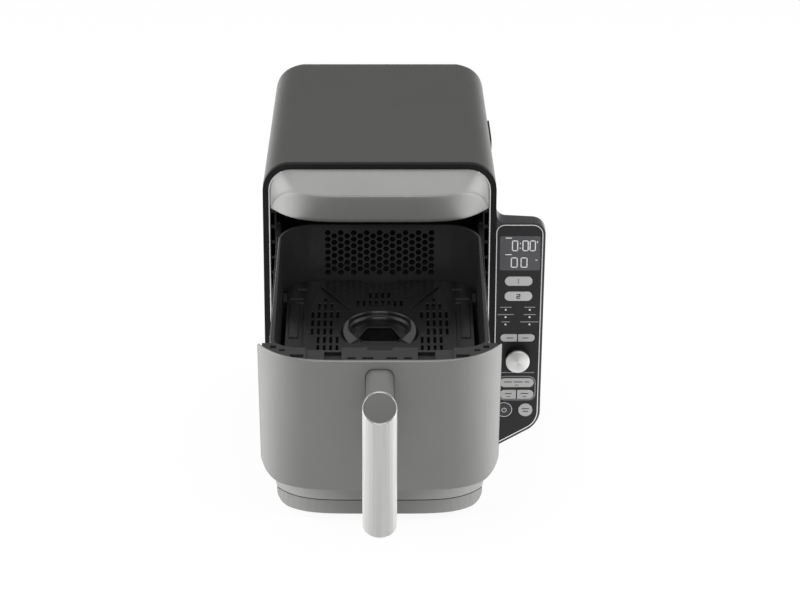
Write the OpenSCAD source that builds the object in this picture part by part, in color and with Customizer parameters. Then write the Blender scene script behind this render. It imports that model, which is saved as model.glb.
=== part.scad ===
// Air fryer with two drawers, one above the other, and a control pod on its right side.
// Millimetres, +Z up. Parts are drawn with x = 0 in the middle of the body, y = 0 at the
// face of the front rim (the viewer stands at -y) and z = 0 on the table. Both drawers are
// drawn closed at the upper level, then moved down one level or pulled open.

/* [Drawers] */
// Half width of a pan's straight side wall
pan_half_w = 99.4; // [97:0.2:101]
// Length of a pan from its front wall to its rear wall
pan_len = 290; // [282:1:296]
// Depth of a pan from its rim to the underside of its floor
pan_depth = 92; // [88:1:95]
// Thickness of a pan's wall
pan_wall = 1.4; // [1.2:0.1:1.8]
// Width of a pan's flange at its front corners
pan_flange_w = 2.9; // [2.2:0.1:3.1]
// Thickness of a pan's flange
pan_flange_t = 1.5; // [1.2:0.1:2.5]
// Radius of a pan's rear corners
pan_rear_r = 37; // [28:1:42]
// Radius of a pan's front corners
pan_front_r = 25; // [20:1:30]
// How far a pan's floor draws in from its upper wall
pan_draft = 4; // [3:0.5:5]
// Radius-like bevel at the foot of a pan's wall
pan_heel = 9; // [6:1:12]
// Height of the straight upper part of a pan's wall
pan_straight_h = 28; // [26:1:32]
// Pitch of the hexagonal holes in a column of a pan's rear wall
perf_pitch = 7.1; // [6:0.1:9]
// Pitch of those columns across the pan
perf_column = 6.5; // [6.4:0.1:9]
// Width of the bridges between those holes
perf_bridge = 1.6; // [1.2:0.1:2.4]
// Height of a drawer's front
front_h = 133; // [130:1:140]
// Thickness of a drawer's front
front_t = 3; // [2.5:0.1:4]
// Radius of the lower corners of a drawer's front
front_r = 17; // [10:1:22]
// Depth of the bulge that all the fronts share
bulge = 38; // [34:1:42]
// Power of the bulge curve, higher is flatter in the middle
bulge_power = 5.2; // [4:0.1:7]
// Height of a drawer's front above its pan's rim
rim_drop = 5; // [4:0.5:7]
// How far past its own length the upper drawer is pulled out
open_past = 16; // [14:0.5:18]

/* [Handles] */
// Diameter of the handle's tube
grip_d = 31.4; // [28:0.2:34]
// Wall of the handle's tube
grip_wall = 1.5; // [1.2:0.1:2.5]
// How far the tube stands out from the middle of the front
handle_reach = 84; // [78:1:90]
// Height of the tube's upper rear edge below the top of the front
grip_top_drop = 5; // [3:0.5:8]
// Length of the tube along its rear side
grip_len = 120.5; // [110:0.5:121]
// Tilt of the tube's upper cut
grip_top_tilt = 28.9; // [15:0.1:35]
// Tilt of the tube's lower cut
grip_low_tilt = 19.3; // [5:0.1:20]
// How far the cap's face lies below the tube's edge
cap_recess = 0.8; // [0.4:0.1:2]
// Thickness of the cap
cap_t = 3; // [2:0.5:5]
// Width of the neck that carries the tube
neck_w = 25; // [20:0.5:27]
// Height of the neck
neck_h = 42; // [30:1:60]
// Height of the neck's top below the top of the front
neck_drop = 8; // [6.5:0.5:14]
// Radius of the neck's corners
neck_r = 6; // [3:0.5:9]

/* [Runners] */
// Width of a runner bar on the side of a pan
runner_w = 4; // [3:0.2:5]
// Height of a runner bar
runner_h = 10; // [8:0.5:12]
// Height of a runner's top below the pan's rim
runner_drop = 12; // [10:0.5:13]
// How far a runner reaches behind the pan's rear wall
runner_tail = 36; // [30:0.5:37]
// Thickness of the rail's sheet
rail_t = 1.3; // [1:0.1:2]
// Height of the rail's lower and upper lips
rail_lip_h = 2.4; // [1.8:0.1:3]
// How far the rail's lips reach in over the runner
rail_lip_w = 2.7; // [2:0.1:3.2]

/* [Crisper plates] */
// Gap between a crisper plate's side and the outside of its pan
plate_side_gap = 7.9; // [7:0.1:11]
// Gap between a crisper plate's ends and the outside of its pan
plate_end_gap = 21; // [17:0.5:25]
// Thickness of a crisper plate
plate_t = 3; // [2:0.5:4]
// Height of a plate's underside above the pan's inner floor
plate_lift_h = 37.4; // [30:0.2:42]
// Radius of a plate's corners
plate_r = 30; // [20:1:36]
// Outer radius of the collar in the middle of a plate
collar_r = 38; // [36:0.5:39]
// Width of the collar's wall
collar_w = 10.5; // [9.5:0.5:11]
// Height of the collar above the plate
collar_h = 8.7; // [6:0.1:9.5]
// Depth of the cup inside the collar below the plate's top
cup_depth = 2; // [1:0.2:2.4]
// Length of the opening in the cup, from front to back
opening_len = 28; // [24:0.5:30]
// Width of that opening at its front
opening_front_w = 43; // [36:0.5:43]
// Width of that opening at its back
opening_back_w = 23; // [18:0.5:26]
// Width of a slot in a plate
slot_w = 2.4; // [2:0.1:3]
// Length of a slot in a plate
slot_len = 14.4; // [10:0.2:15]
// Pitch of the slots across a plate
slot_pitch_x = 6.1; // [5.5:0.1:6.4]
// Pitch of the rows of slots along a plate
slot_pitch_y = 18.8; // [17:0.2:20]
// Number of slots in a row of a side block
slot_count = 4; // [3:1:4]
// Distance from the middle of a plate to the first slot of a side block
slot_start = 47.1; // [46.1:0.1:48]
// Radius of a plate's legs
leg_r = 4.5; // [3:0.5:6]
// Distance from a plate's edge to its legs
leg_inset = 16; // [14:1:20]
// Length of a silicone bumper
bumper_len = 20; // [14:1:26]
// Height of a silicone bumper
bumper_h = 8; // [6:0.5:9]

/* [Body] */
// Width of the black rim round the front
rim_w = 6; // [5:0.2:7]
// Depth of the black rim
rim_d = 5; // [4.4:0.1:7]
// Width of the bright trim line inside the rim
trim_w = 1.2; // [0.8:0.1:1.6]
// How far the trim stands proud of the rim
trim_proud = 0.5; // [0.2:0.1:0.8]
// How far the sides of a front reach over the bright trim
front_overlap = 1.9; // [1.2:0.1:2.4]
// Gap between the side of the top fascia and the trim
fascia_side_gap = 0.4; // [0.3:0.1:0.8]
// Wall of the housing
shell_wall = 2.4; // [2:0.1:2.8]
// Radius of the housing's upper corners
top_r = 28; // [22:1:32]
// Radius of the housing's lower corners
low_r = 22; // [18:1:26]
// Radius of the housing's upper rear edge
rear_top_r = 75; // [60:1:80]
// Radius of the housing's upright rear edges
rear_side_r = 26; // [22:1:27]
// How much each side draws in per millimetre towards the back
side_taper = 0.024; // [0.02:0.001:0.026]
// Air space between an oven wall and the housing at the front
side_space = 9.4; // [9:0.1:11]
// Height of the rubber feet
foot_h = 8; // [6:0.5:10]
// Radius of the rubber feet
foot_r = 9; // [7:0.5:12]
// Height of the plinth
plinth_h = 15.4; // [14:0.2:20]
// How far the plinth is set in from the fronts
plinth_inset = 5.3; // [4:0.1:7]
// Radius of the plinth's lower side corners
plinth_r = 12; // [8:0.5:13]
// Dark parting line between the plinth and the base front
parting_gap = 0.6; // [0.4:0.1:0.9]
// Wall of the plinth tray
tray_wall = 3; // [2.4:0.1:4]
// Height of the tray's collar inside the housing
tray_collar_h = 12; // [9:0.5:16]
// Height of the base front
base_front_h = 34; // [30:1:38]
// Gap between the base front and the lower drawer
base_gap = 4; // [3:0.5:6]
// Gap between the two drawer fronts
drawer_gap = 5; // [4:0.5:8]
// Gap between the upper drawer front and the top fascia
fascia_gap = 4; // [3:0.5:6]
// Height of the top fascia
fascia_h = 42; // [38:1:46]
// Wall of the top fascia
fascia_t = 2.5; // [2:0.1:3]
// Drop of the fascia's shoulder from the rim to its ridge
shoulder_drop = 13; // [9:0.5:16]
// Thickness of the black front frame
frame_t = 2; // [1.5:0.1:3]
// Width of the long holes in the front frame
frame_slot_w = 3.6; // [2:0.1:4]
// Length of the long holes in the front frame
frame_slot_h = 13.5; // [8:0.5:16]
// Pitch of the long holes in the front frame
frame_slot_pitch = 17; // [15.5:0.5:22]
// Width of a slot in the rear cover
vent_w = 4; // [3:0.5:6]
// Pitch of the slots in the rear cover
vent_pitch = 9; // [8:0.5:12]
// Height of a row of slots in the rear cover
vent_h = 34; // [20:1:36]

/* [Ovens] */
// Thickness of an oven's sheet metal
oven_t = 0.8; // [0.6:0.1:1.2]
// Room above a pan's rim inside its oven
oven_top_room = 6; // [5:0.5:7]
// Room under a pan inside its oven
oven_floor_room = 4; // [3:0.5:6]
// How far a pan's front wall stands out of its oven
pan_ahead = 4; // [2:0.5:5]
// Gap between a pan's rear wall and the fan guard
guard_gap = 3; // [2:0.5:5]
// Thickness of the fan guard
guard_t = 1.2; // [1:0.1:2]
// Half width of the fan guard
guard_half_w = 95; // [80:1:96]
// Radius of the heater's tube
heater_r = 3.2; // [2.6:0.1:3.8]
// Radius of the heater's outer ring
heater_ring_r = 45; // [43:0.5:46]
// Radius of the heater's inner ring
heater_inner_r = 33; // [28:0.5:35]
// Gap in front of and behind the heater
heater_gap = 3.6; // [3:0.1:5]
// Radius of a fan
fan_r = 38; // [34:0.5:40]
// Length of a fan's blades along its axis
fan_len = 15; // [12:0.5:16]
// Number of blades on a fan
fan_blades = 12; // [8:1:18]
// Thickness of a fan's blades and disc
blade_t = 1.2; // [1:0.1:1.6]
// Radius of a fan's hub
hub_r = 9; // [8:0.5:12]
// Radius of a motor shaft
shaft_r = 3; // [2.5:0.1:3.5]
// Gap between a fan and the rear wall of its oven
fan_back_gap = 4; // [3:0.5:6]
// Radius of a fan motor
motor_r = 29; // [25:0.5:31]
// Length of a fan motor
motor_len = 19; // [16:0.5:21]
// Free space behind a fan motor
motor_back_gap = 3; // [2:0.5:5]
// Thickness of the insulation boards
wool_t = 11; // [6:0.5:16]

/* [Control pod] */
// Width of the pod at its top
pod_w = 50; // [49:0.1:53]
// How much narrower the pod is at its lower corner
pod_lean = 2.2; // [0:0.1:4]
// Depth of the pod beside the body
pod_d = 21; // [20:0.5:24]
// Depth of the pod at its outer side
pod_side_d = 14.5; // [14:0.1:18]
// Wall of the pod
pod_wall = 2; // [1.6:0.1:2.4]
// Height of the pod's top
pod_top_z = 321; // [315:1:330]
// How far the pod's lower right corner lies below the middle of the round buttons
pod_foot_h = 15.8; // [15:0.2:20]
// Rise of the pod's slanting lower edge
pod_slant_h = 28; // [24:1:30]
// Radius of the pod's upper corner
pod_r = 13; // [8:1:15]
// Radius of the pod's lower corner
pod_low_r = 24; // [12:1:26]
// How far the pod's front lip reaches in over its wall
pod_lip = 0.3; // [0.2:0.1:0.6]
// Width of the bright line on the pod
pod_line_w = 0.9; // [0.6:0.1:1.2]
// Thickness of the control panel
panel_t = 2.5; // [2:0.1:3]
// Distance from the body to the middle of the controls
controls_x = 23.4; // [23.2:0.1:24]
// Width of the display window
display_w = 41; // [34:0.5:41]
// How far the display lies off the middle of the controls
display_shift = 1; // [0.6:0.1:1.4]
// Height of the display window
display_h = 38; // [34:1:39]
// Height of the pod's top above the display
display_drop = 15; // [14:0.5:17]
// Width of the two zone buttons
zone_w = 28; // [22:1:32]
// Height of the two zone buttons
zone_h = 10; // [8:0.5:11]
// Gap between the display and the first zone button
zone_one_gap = 6.6; // [4:0.2:9]
// Gap between the two zone buttons
zone_two_gap = 6.9; // [4:0.1:9]
// Height of the field of lamps under the second zone button
lamps_h = 38; // [34:1:42]
// Height of the temperature and time buttons
split_h = 8; // [6:0.5:8.5]
// Width of a pair of buttons with the gap between them
pair_w = 35; // [32:0.5:36]
// Gap between the two buttons of a pair
pair_gap = 1.2; // [1.1:0.1:2.4]
// Gap between the dial and the wide button
wide_gap = 12.4; // [9:0.2:15]
// Gap between the wide button and the lower pair
lower_pair_gap = 3.5; // [2:0.1:5]
// Height of the wide button and of the lower pair
wide_h = 10; // [8:0.5:10.5]
// Gap between the lower pair and the two round buttons
round_gap = 5.8; // [4:0.1:8]
// Distance between the middles of the two round buttons
round_span = 22; // [20:0.5:22.5]
// How far the pair of round buttons lies off the middle of the controls
round_shift = 1.5; // [0:0.1:1.7]
// Radius of the two round buttons
round_r = 7.2; // [6:0.1:7.4]
// Gap between the temperature and time buttons and the dial
dial_gap = 5.2; // [4:0.2:8]
// Radius of the dial's knob
dial_r = 12.3; // [10:0.1:13]
// How far the dial stands out of the panel
dial_reach = 14; // [10:0.5:18]
// How far a button stands out of the panel
button_proud = 1; // [0.9:0.1:1.4]
// Travel of a button
button_travel = 0.8; // [0.5:0.1:0.8]
// Clearance round a button
button_gap = 0.3; // [0.2:0.05:0.4]

/* [Fits] */
// Clearance between pieces that are seated on each other
seat = 0.3; // [0.2:0.05:0.4]
// Clearance between a runner and its rail
slide_gap = 0.3; // [0.2:0.05:0.4]
// Radial clearance of a turning shaft
shaft_gap = 0.06; // [0.04:0.01:0.09]

/* [Hidden] */

// Slack by which a cutting shape passes the face that it cuts
over = 1;
// Thickness of the slices that hull() joins
slice = 0.02;
// Segments of a rounded corner in an outline
corner_steps = 6;
round_fn = 48;
small_fn = 32;

// Heights, stacked up from the table; the drawers are drawn at the upper level
tray_z = foot_h;
tray_top_z = tray_z + plinth_h;
base_z = tray_top_z + parting_gap;
low_front_z = base_z + base_front_h + base_gap;
level_h = front_h + drawer_gap;
front_z = low_front_z + level_h;
front_top_z = front_z + front_h;
fascia_z = front_top_z + fascia_gap;
opening_top_z = fascia_z + fascia_h;
body_h = opening_top_z + rim_w;
shell_low_z = base_z;
rim_z = front_top_z - rim_drop;
floor_z = rim_z - pan_depth;
inner_floor_z = floor_z + pan_wall;
oven_floor_z = floor_z - oven_floor_room;
oven_top_z = rim_z + oven_top_room;
runner_top_z = rim_z - runner_drop;
runner_z = runner_top_z - runner_h;
fan_z = (oven_floor_z + oven_top_z) / 2;

// Half widths, from a pan outwards
runner_half_w = pan_half_w + runner_w;
oven_half_w = runner_half_w + slide_gap + rail_t;
mouth_half_w = runner_half_w + 2 * slide_gap;
body_half_w = oven_half_w + oven_t + side_space + shell_wall;
trim_half_w = body_half_w - rim_w;
front_half_w = trim_half_w - trim_w + front_overlap;
plinth_half_w = front_half_w - plinth_inset;

// Depths, from the rim's face backwards
pan_front_y = -pan_ahead;
pan_back_y = pan_front_y + pan_len;
guard_y = pan_back_y + guard_gap;
frame_y = front_t + seat;
heater_y = guard_y + guard_t + heater_gap + heater_r;
fan_y = heater_y + heater_r + heater_gap;
oven_back_y = fan_y + fan_len + fan_back_gap;
motor_y = oven_back_y + oven_t + seat;
motor_back_y = motor_y + motor_len;
body_d = motor_back_y + motor_back_gap + shell_wall;
frame_back_y = frame_y + frame_t;
oven_front_y = frame_back_y + seat;
rail_y = oven_front_y;
runner_back_y = pan_back_y + runner_tail;
drawer_open = pan_len + open_past;

// Handle, neck and cap
grip_r = grip_d / 2;
grip_bore_r = grip_r - grip_wall;
grip_y = -bulge - handle_reach + grip_r;
grip_top_z = front_top_z - grip_top_drop;
grip_low_z = grip_top_z - grip_len;
neck_top_z = front_top_z - neck_drop;
neck_low_z = neck_top_z - neck_h;
neck_back_y = -bulge + front_t;

// Crisper plate
plate_ahead = 2;
plate_half_w = pan_half_w - plate_side_gap;
plate_len = pan_len - 2 * plate_end_gap;
plate_mid_y = (pan_front_y + pan_back_y) / 2 - plate_ahead;
skirt_h = 5;
skirt_t = 2;
plate_z = inner_floor_z + plate_lift_h;
plate_top_z = plate_z + plate_t;
leg_z = inner_floor_z + seat;

// Control pod
pod_x = body_half_w + seat;
pod_top_x = pod_x + pod_w;
pod_low_x = pod_top_x - pod_lean;
mid_x = pod_x + controls_x;
pod_line_inset = pod_wall + pod_lip;
pod_line_r = 11;
display_x = mid_x + display_shift;
board_t = 1.6;
board_y = 9.5;
switch_h = 2;
stem_end_y = board_y - switch_h;

// Heights on the pod, stacked down from its top
display_z = pod_top_z - display_drop - display_h / 2;
zone_one_z = display_z - display_h / 2 - zone_one_gap - zone_h / 2;
zone_two_z = zone_one_z - zone_h - zone_two_gap;
split_z = zone_two_z - zone_h / 2 - lamps_h - split_h / 2;
dial_z = split_z - split_h / 2 - dial_gap - dial_r;
wide_z = dial_z - dial_r - wide_gap - wide_h / 2;
lower_pair_z = wide_z - wide_h - lower_pair_gap;
round_z = lower_pair_z - wide_h / 2 - round_gap - round_r;
pod_low_z = round_z - pod_foot_h;
pod_root_z = pod_low_z - pod_slant_h;

// The origin of the part: under the middle of its box with the upper drawer open
origin_x = (pod_top_x - body_half_w) / 2;
origin_y = (body_d - bulge - handle_reach - drawer_open) / 2;

// ---- outlines -----------------------------------------------------------------------

// Unit vector from a to b
function toward(a, b) = ([b[0], b[1]] - [a[0], a[1]]) / norm([b[0] - a[0], b[1] - a[1]]);
// Angle of the outward normal of the edge from a to b of a counter-clockwise outline
function edge_angle(a, b) = atan2(-(b[0] - a[0]), b[1] - a[1]);
// Arc of corner p between its neighbours a and b, with the whole outline drawn in by inset
function corner_arc(a, p, b, inset) =
  let (u = toward(p, a), v = toward(p, b))
  let (half = acos(u * v) / 2, r = max(p[2] - inset, 0.2))
  let (c = [p[0], p[1]] + (u + v) / norm(u + v) * (inset + r) / sin(half))
  let (a0 = edge_angle(a, p), turn = (edge_angle(p, b) - a0 + 720) % 360)
  [for (i = [0:corner_steps]) c + r * [cos(a0 + turn * i / corner_steps),
    sin(a0 + turn * i / corner_steps)]];
// Outline with round corners; each corner is [x, y, radius], counter-clockwise
function outline(corners, inset = 0) =
  let (n = len(corners))
  [for (i = [0:n - 1]) each corner_arc(corners[(i + n - 1) % n], corners[i],
    corners[(i + 1) % n], inset)];
// Four corners of a rectangle with its own radius for the lower and the upper pair
function rect(x0, y0, x1, y1, r_low, r_up) =
  [[x0, y0, r_low], [x1, y0, r_low], [x1, y1, r_up], [x0, y1, r_up]];
// How far a front of half width w bulges out at x
function bulge_at(x, w) = bulge * (1 - pow(min(abs(x) / w, 1), bulge_power));
// Points of the bulging curve from -limit to limit, closer together near its ends
curve_steps = 28;
function curve_x(i, limit) = limit * sin(90 * (2 * i / curve_steps - 1));
function front_curve(w, limit, shift) =
  [for (i = [0:curve_steps]) let (x = curve_x(i, limit)) [x, shift - bulge_at(x, w)]];
function reversed(list) = [for (i = [len(list) - 1:-1:0]) list[i]];

// ---- small tools --------------------------------------------------------------------

// Places what is drawn in the body's frame into the part's frame
module placed() {
  translate([-origin_x, -origin_y, 0])
    children();
}
// Places what is drawn at the upper level into one level (0 upper, 1 lower), pulled open
module on_level(level, open) {
  placed()
    translate([0, -open, -level * level_h])
      children();
}
// A block from its low corner to its high corner
module block(low, high) {
  translate(low)
    cube(high - low);
}
// A plate of an x-z outline, from y0 to y1
module front_plate(points, y0, y1) {
  translate([0, y1, 0])
    rotate([90, 0, 0])
      linear_extrude(y1 - y0)
        polygon(points);
}
// A plate of an x-y outline, from z0 to z1
module plan_plate(points, z0, z1) {
  translate([0, 0, z0])
    linear_extrude(z1 - z0)
      polygon(points);
}
// A cylinder along y
module rod_y(x, z, y0, y1, r, fn = round_fn) {
  translate([x, y1, z])
    rotate([90, 0, 0])
      cylinder(h = y1 - y0, r = r, $fn = fn);
}
// A cylinder along z
module rod_z(x, y, z0, z1, r, fn = round_fn) {
  translate([x, y, z0])
    cylinder(h = z1 - z0, r = r, $fn = fn);
}
module both_sides() {
  children();
  mirror([1, 0, 0])
    children();
}

// ---- housing ------------------------------------------------------------------------

// Half width of the housing at depth y, with the upright rear edges rounded
function shell_half_w(y) =
  let (w = body_half_w - side_taper * y, past = y - (body_d - rear_side_r))
  past <= 0 ? w : w - rear_side_r + sqrt(max(pow(rear_side_r, 2) - pow(past, 2), 0));
// Height of the housing's top at depth y, with the upper rear edge rounded
function shell_top(y) =
  let (past = y - (body_d - rear_top_r))
  past <= 0 ? body_h : body_h - rear_top_r + sqrt(max(pow(rear_top_r, 2) - pow(past, 2), 0));
// Outline of the housing seen from the front at depth y
function shell_outline(y, inset) =
  let (w = shell_half_w(y))
  outline(rect(-w, shell_low_z, w, shell_top(y), low_r, top_r), inset);
// Depths of the slices that shape the housing
rear_steps = 7;
shell_depths = concat([rim_d + seat],
  [for (i = [0:rear_steps]) body_d - rear_top_r * (1 - sin(90 * i / rear_steps))]);

module shell_solid(y_shift, inset) {
  hull()
    for (y = shell_depths)
      front_plate(shell_outline(y, inset), y - y_shift - slice, y - y_shift);
}

rear_opening_half_w = body_half_w - side_taper * body_d - rear_side_r - 2;
rear_opening_top_z = body_h - rear_top_r - 4;
rear_opening_z = shell_low_z + low_r;
function rear_opening(inset) =
  outline(rect(-rear_opening_half_w, rear_opening_z, rear_opening_half_w,
    rear_opening_top_z, 6, 6), inset);
collar_back_y = body_d - rear_side_r;
collar_half_w = shell_half_w(collar_back_y) - low_r - 2 * seat;

module outer_shell() {
  lug_y = body_d - shell_wall - seat;
  color("#5a5a58")
    placed() {
      at_screws()
        difference() {
          union() {
            block([-lug_w / 2, lug_y - lug_t, -lug_w / 2],
              [lug_w / 2 + lug_web, lug_y, lug_w / 2]);
            block([lug_w / 2 + 0.1, lug_y - over, -lug_w / 2],
              [lug_w / 2 + lug_web, lug_y + over, lug_w / 2]);
          }
          rod_y(0, 0, lug_y - lug_t - over, lug_y + over, screw_r, small_fn);
        }
      difference() {
        shell_solid(0, 0);
        shell_solid(shell_wall, shell_wall);
        // open front
        front_plate(shell_outline(0, shell_wall), -over, rim_d + shell_wall + seat);
        front_plate(rear_opening(0), body_d - shell_wall - over, body_d + over);
        // open underside, filled by the tray's collar
        block([-collar_half_w, -over, shell_low_z - over],
          [collar_half_w, collar_back_y, shell_low_z + shell_wall + over]);
      }
    }
}

// Screws of the rear cover, in lugs of the housing behind it
screw_r = 1.5;
screw_head_r = 3.2;
screw_head_h = 1.4;
screw_len = 6;
lug_t = 4;
lug_w = 14;
lug_web = 4;
screw_inset = 12;
screw_x = rear_opening_half_w - lug_w / 2;
screw_low_z = rear_opening_z + screw_inset;
screw_high_z = rear_opening_top_z - screw_inset;
module at_screws() {
  both_sides()
    for (z = [screw_low_z, screw_high_z])
      translate([screw_x, 0, z])
        children();
}

gland_x = 48;
gland_z = 72;
gland_r = 8;
gland_bore_r = 3.6;
gland_flange_t = 3;
gland_len = 12;
vent_rows = 3;
vent_margin = 10;
vent_foot_h = 50;
vent_row_gap = 6;
vent_half_w = rear_opening_half_w - vent_margin;
vent_count = floor(2 * vent_half_w / vent_pitch);

module rear_cover() {
  low_z = rear_opening_z + vent_foot_h;
  room = (rear_opening_top_z - vent_margin - low_z) / vent_rows;
  color("#2b2b2c")
    placed()
      difference() {
        front_plate(rear_opening(seat), body_d - shell_wall, body_d);
        for (row = [0:vent_rows - 1])
          for (i = [0:vent_count - 1])
            translate([(i - (vent_count - 1) / 2) * vent_pitch, 0,
              low_z + row * room])
              block([-vent_w / 2, body_d - shell_wall - over, 0],
                [vent_w / 2, body_d + over,
                min(vent_h, room - vent_row_gap)]);
        rod_y(gland_x, gland_z, body_d - shell_wall - over, body_d + over,
          gland_r + seat);
        at_screws() {
          rod_y(0, 0, body_d - shell_wall - over, body_d + over, screw_r + 0.2,
            small_fn);
          rod_y(0, 0, body_d - screw_head_h - 0.1, body_d + over,
            screw_head_r + 0.2, small_fn);
        }
      }
}

module rear_screws() {
  color("silver")
    placed()
      at_screws() {
        rod_y(0, 0, body_d - screw_head_h, body_d - 0.2, screw_head_r, small_fn);
        rod_y(0, 0, body_d - screw_head_h - screw_len, body_d - screw_head_h,
          screw_r - 0.1, small_fn);
      }
}

module cord_gland() {
  inner_y = body_d - shell_wall;
  color("#202020")
    placed()
      difference() {
        union() {
          rod_y(gland_x, gland_z, inner_y - gland_len, body_d, gland_r);
          rod_y(gland_x, gland_z, inner_y - seat - gland_flange_t,
            inner_y - seat, gland_r + gland_flange_t);
        }
        rod_y(gland_x, gland_z, inner_y - gland_len - over, body_d + over,
          gland_bore_r);
      }
}

// Plan of the plinth: the bulging front, then straight sides to rounded rear corners
plinth_back_y = body_d - 8;
plinth_rear_r = 24;
function plinth_plan(inset) =
  let (w = plinth_half_w - inset, y1 = plinth_back_y - inset, r = plinth_rear_r - inset)
  let (c = [w - r, y1 - r])
  concat(front_curve(front_half_w - inset, w, inset),
    [for (i = [0:corner_steps]) c + r * [cos(90 * i / corner_steps),
      sin(90 * i / corner_steps)]],
    [for (i = [0:corner_steps]) [-c[0], c[1]] + r * [-sin(90 * i / corner_steps),
      cos(90 * i / corner_steps)]]);
post_r = 4;
post_h = 6;
board_z = tray_z + tray_wall + post_h;
// Plan of the power board and the inset of the posts under its corners
board_low = [-70, 60];
board_high = [70, 260];
post_inset = 8;

// The plinth's plan, cut to its rounded lower corners
module plinth_solid(inset) {
  w = plinth_half_w - inset;
  top_z = inset == 0 ? tray_top_z : tray_top_z + over;
  intersection() {
    plan_plate(plinth_plan(inset), tray_z + inset, top_z);
    front_plate(outline(rect(-w, tray_z + inset, w, top_z + over, plinth_r - inset,
      0.2)), -bulge - over, body_d);
  }
}

module base_tray() {
  y0 = frame_back_y + seat;
  color("#6f6f6d")
    placed() {
      difference() {
        plinth_solid(0);
        plinth_solid(tray_wall);
      }
      // collar that stands up inside the housing
      difference() {
        block([-collar_half_w + seat, y0, tray_z + tray_wall - over],
          [collar_half_w - seat, collar_back_y - seat,
          tray_top_z + tray_collar_h]);
        block([-collar_half_w + seat + tray_wall, y0 + tray_wall, tray_z],
          [collar_half_w - seat - tray_wall, collar_back_y - seat - tray_wall,
          tray_top_z + tray_collar_h + over]);
      }
      for (x = [board_low[0] + post_inset, board_high[0] - post_inset])
        for (y = [board_low[1] + post_inset, board_high[1] - post_inset])
          rod_z(x, y, tray_z + tray_wall - over, board_z - seat, post_r,
            small_fn);
    }
}

foot_places = [[-82, 14], [82, 14], [-78, 314], [78, 314]];

module feet() {
  color("#1a1a1a")
    placed()
      for (p = foot_places)
        rod_z(p[0], p[1], 0, tray_z, foot_r);
}

// A bulging plate, cut to a front outline of corners
module bulging_plate(corners, w, t) {
  intersection() {
    plan_plate(concat(front_curve(w, w, 0), reversed(front_curve(w, w, t))), 0, body_h);
    front_plate(outline(corners), -bulge - over, -trim_proud - seat);
  }
}

module base_front() {
  w = front_half_w;
  foot_w = plinth_half_w;
  color("#777775")
    placed()
      bulging_plate([[-foot_w, base_z, 1], [foot_w, base_z, 1],
        [w, base_z + base_front_h / 2, 8], [w, base_z + base_front_h, 1],
        [-w, base_z + base_front_h, 1], [-w, base_z + base_front_h / 2, 8]], w,
        front_t);
}

// Slices of the top fascia: x of the bulge curve gives how far forward a slice lies
fascia_half_w = trim_half_w - trim_w - fascia_side_gap;
fascia_x = [1, 0.97, 0.92, 0.84, 0.72, 0.55, 0.3];
fascia_r = top_r - rim_w - trim_w;
module fascia_solid(inset, y_shift) {
  hull()
    for (f = fascia_x) {
      ahead = bulge_at(f * fascia_half_w, fascia_half_w);
      w = f * fascia_half_w - inset;
      top = opening_top_z - trim_w - seat - shoulder_drop * ahead / bulge - inset;
      y = y_shift - ahead;
      front_plate(outline(rect(-w, fascia_z + inset, w, top, 0.8, fascia_r)), y,
        y + slice);
    }
}
module top_fascia() {
  back_y = frame_y - seat;
  corners = rect(-fascia_half_w, fascia_z, fascia_half_w,
    opening_top_z - trim_w - seat, 0.8, fascia_r);
  color("#9a9a98")
    placed()
      difference() {
        union() {
          fascia_solid(0, 0);
          front_plate(outline(corners), 0, back_y);
        }
        fascia_solid(fascia_t, fascia_t);
        front_plate(outline(corners, fascia_t), fascia_t, back_y + over);
      }
}

function front_corners(y_low) =
  rect(-body_half_w, y_low, body_half_w, body_h, low_r, top_r);

module front_bezel() {
  color("#2b2b2c")
    placed()
      difference() {
        front_plate(outline(front_corners(shell_low_z)), 0, rim_d);
        front_plate(outline(front_corners(shell_low_z - low_r - rim_w), rim_w),
          -over, rim_d + over);
      }
}

module bezel_trim() {
  color("#c9c9c7")
    placed()
      difference() {
        front_plate(outline(front_corners(0), rim_w + 0.05), -trim_proud,
          frame_y - 0.2);
        front_plate(outline(front_corners(-top_r), rim_w + trim_w), -over - 1,
          rim_d);
        block([-body_half_w, -over - 1, 0],
          [body_half_w, rim_d, shell_low_z + low_r]);
      }
}

frame_half_w = trim_half_w - 0.2;
slot_x = (mouth_half_w + frame_half_w) / 2;
mouth_z = oven_floor_z + 1;
mouth_top_z = rim_z + rim_drop - 2;

module front_frame() {
  slots = floor((mouth_top_z - mouth_z) / frame_slot_pitch);
  color("#1d1d1e")
    placed()
      difference() {
        front_plate(outline(front_corners(shell_low_z + shell_wall + seat - rim_w),
          rim_w + 0.2), frame_y, frame_back_y);
        for (level = [0, 1])
          translate([0, 0, -level * level_h]) {
            block([-mouth_half_w, 0, mouth_z], [mouth_half_w, 20, mouth_top_z]);
            for (side = [-1, 1])
              for (i = [0:slots - 1])
                translate([side * slot_x, 0, mouth_top_z
                  - (i + 1) * frame_slot_pitch + 3])
                  block([-frame_slot_w / 2, 0, 0],
                    [frame_slot_w / 2, 20, frame_slot_h]);
          }
      }
}

vent_y0 = 184;
vent_len = 60;
vent_z0 = 320;
vent_z1 = 336;
vent_r = 7;
vent_slots = 5;
vent_slot_pitch = 9;
vent_slot_w = 3;
vent_frame_w = 4;
vent_proud = 5;

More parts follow.
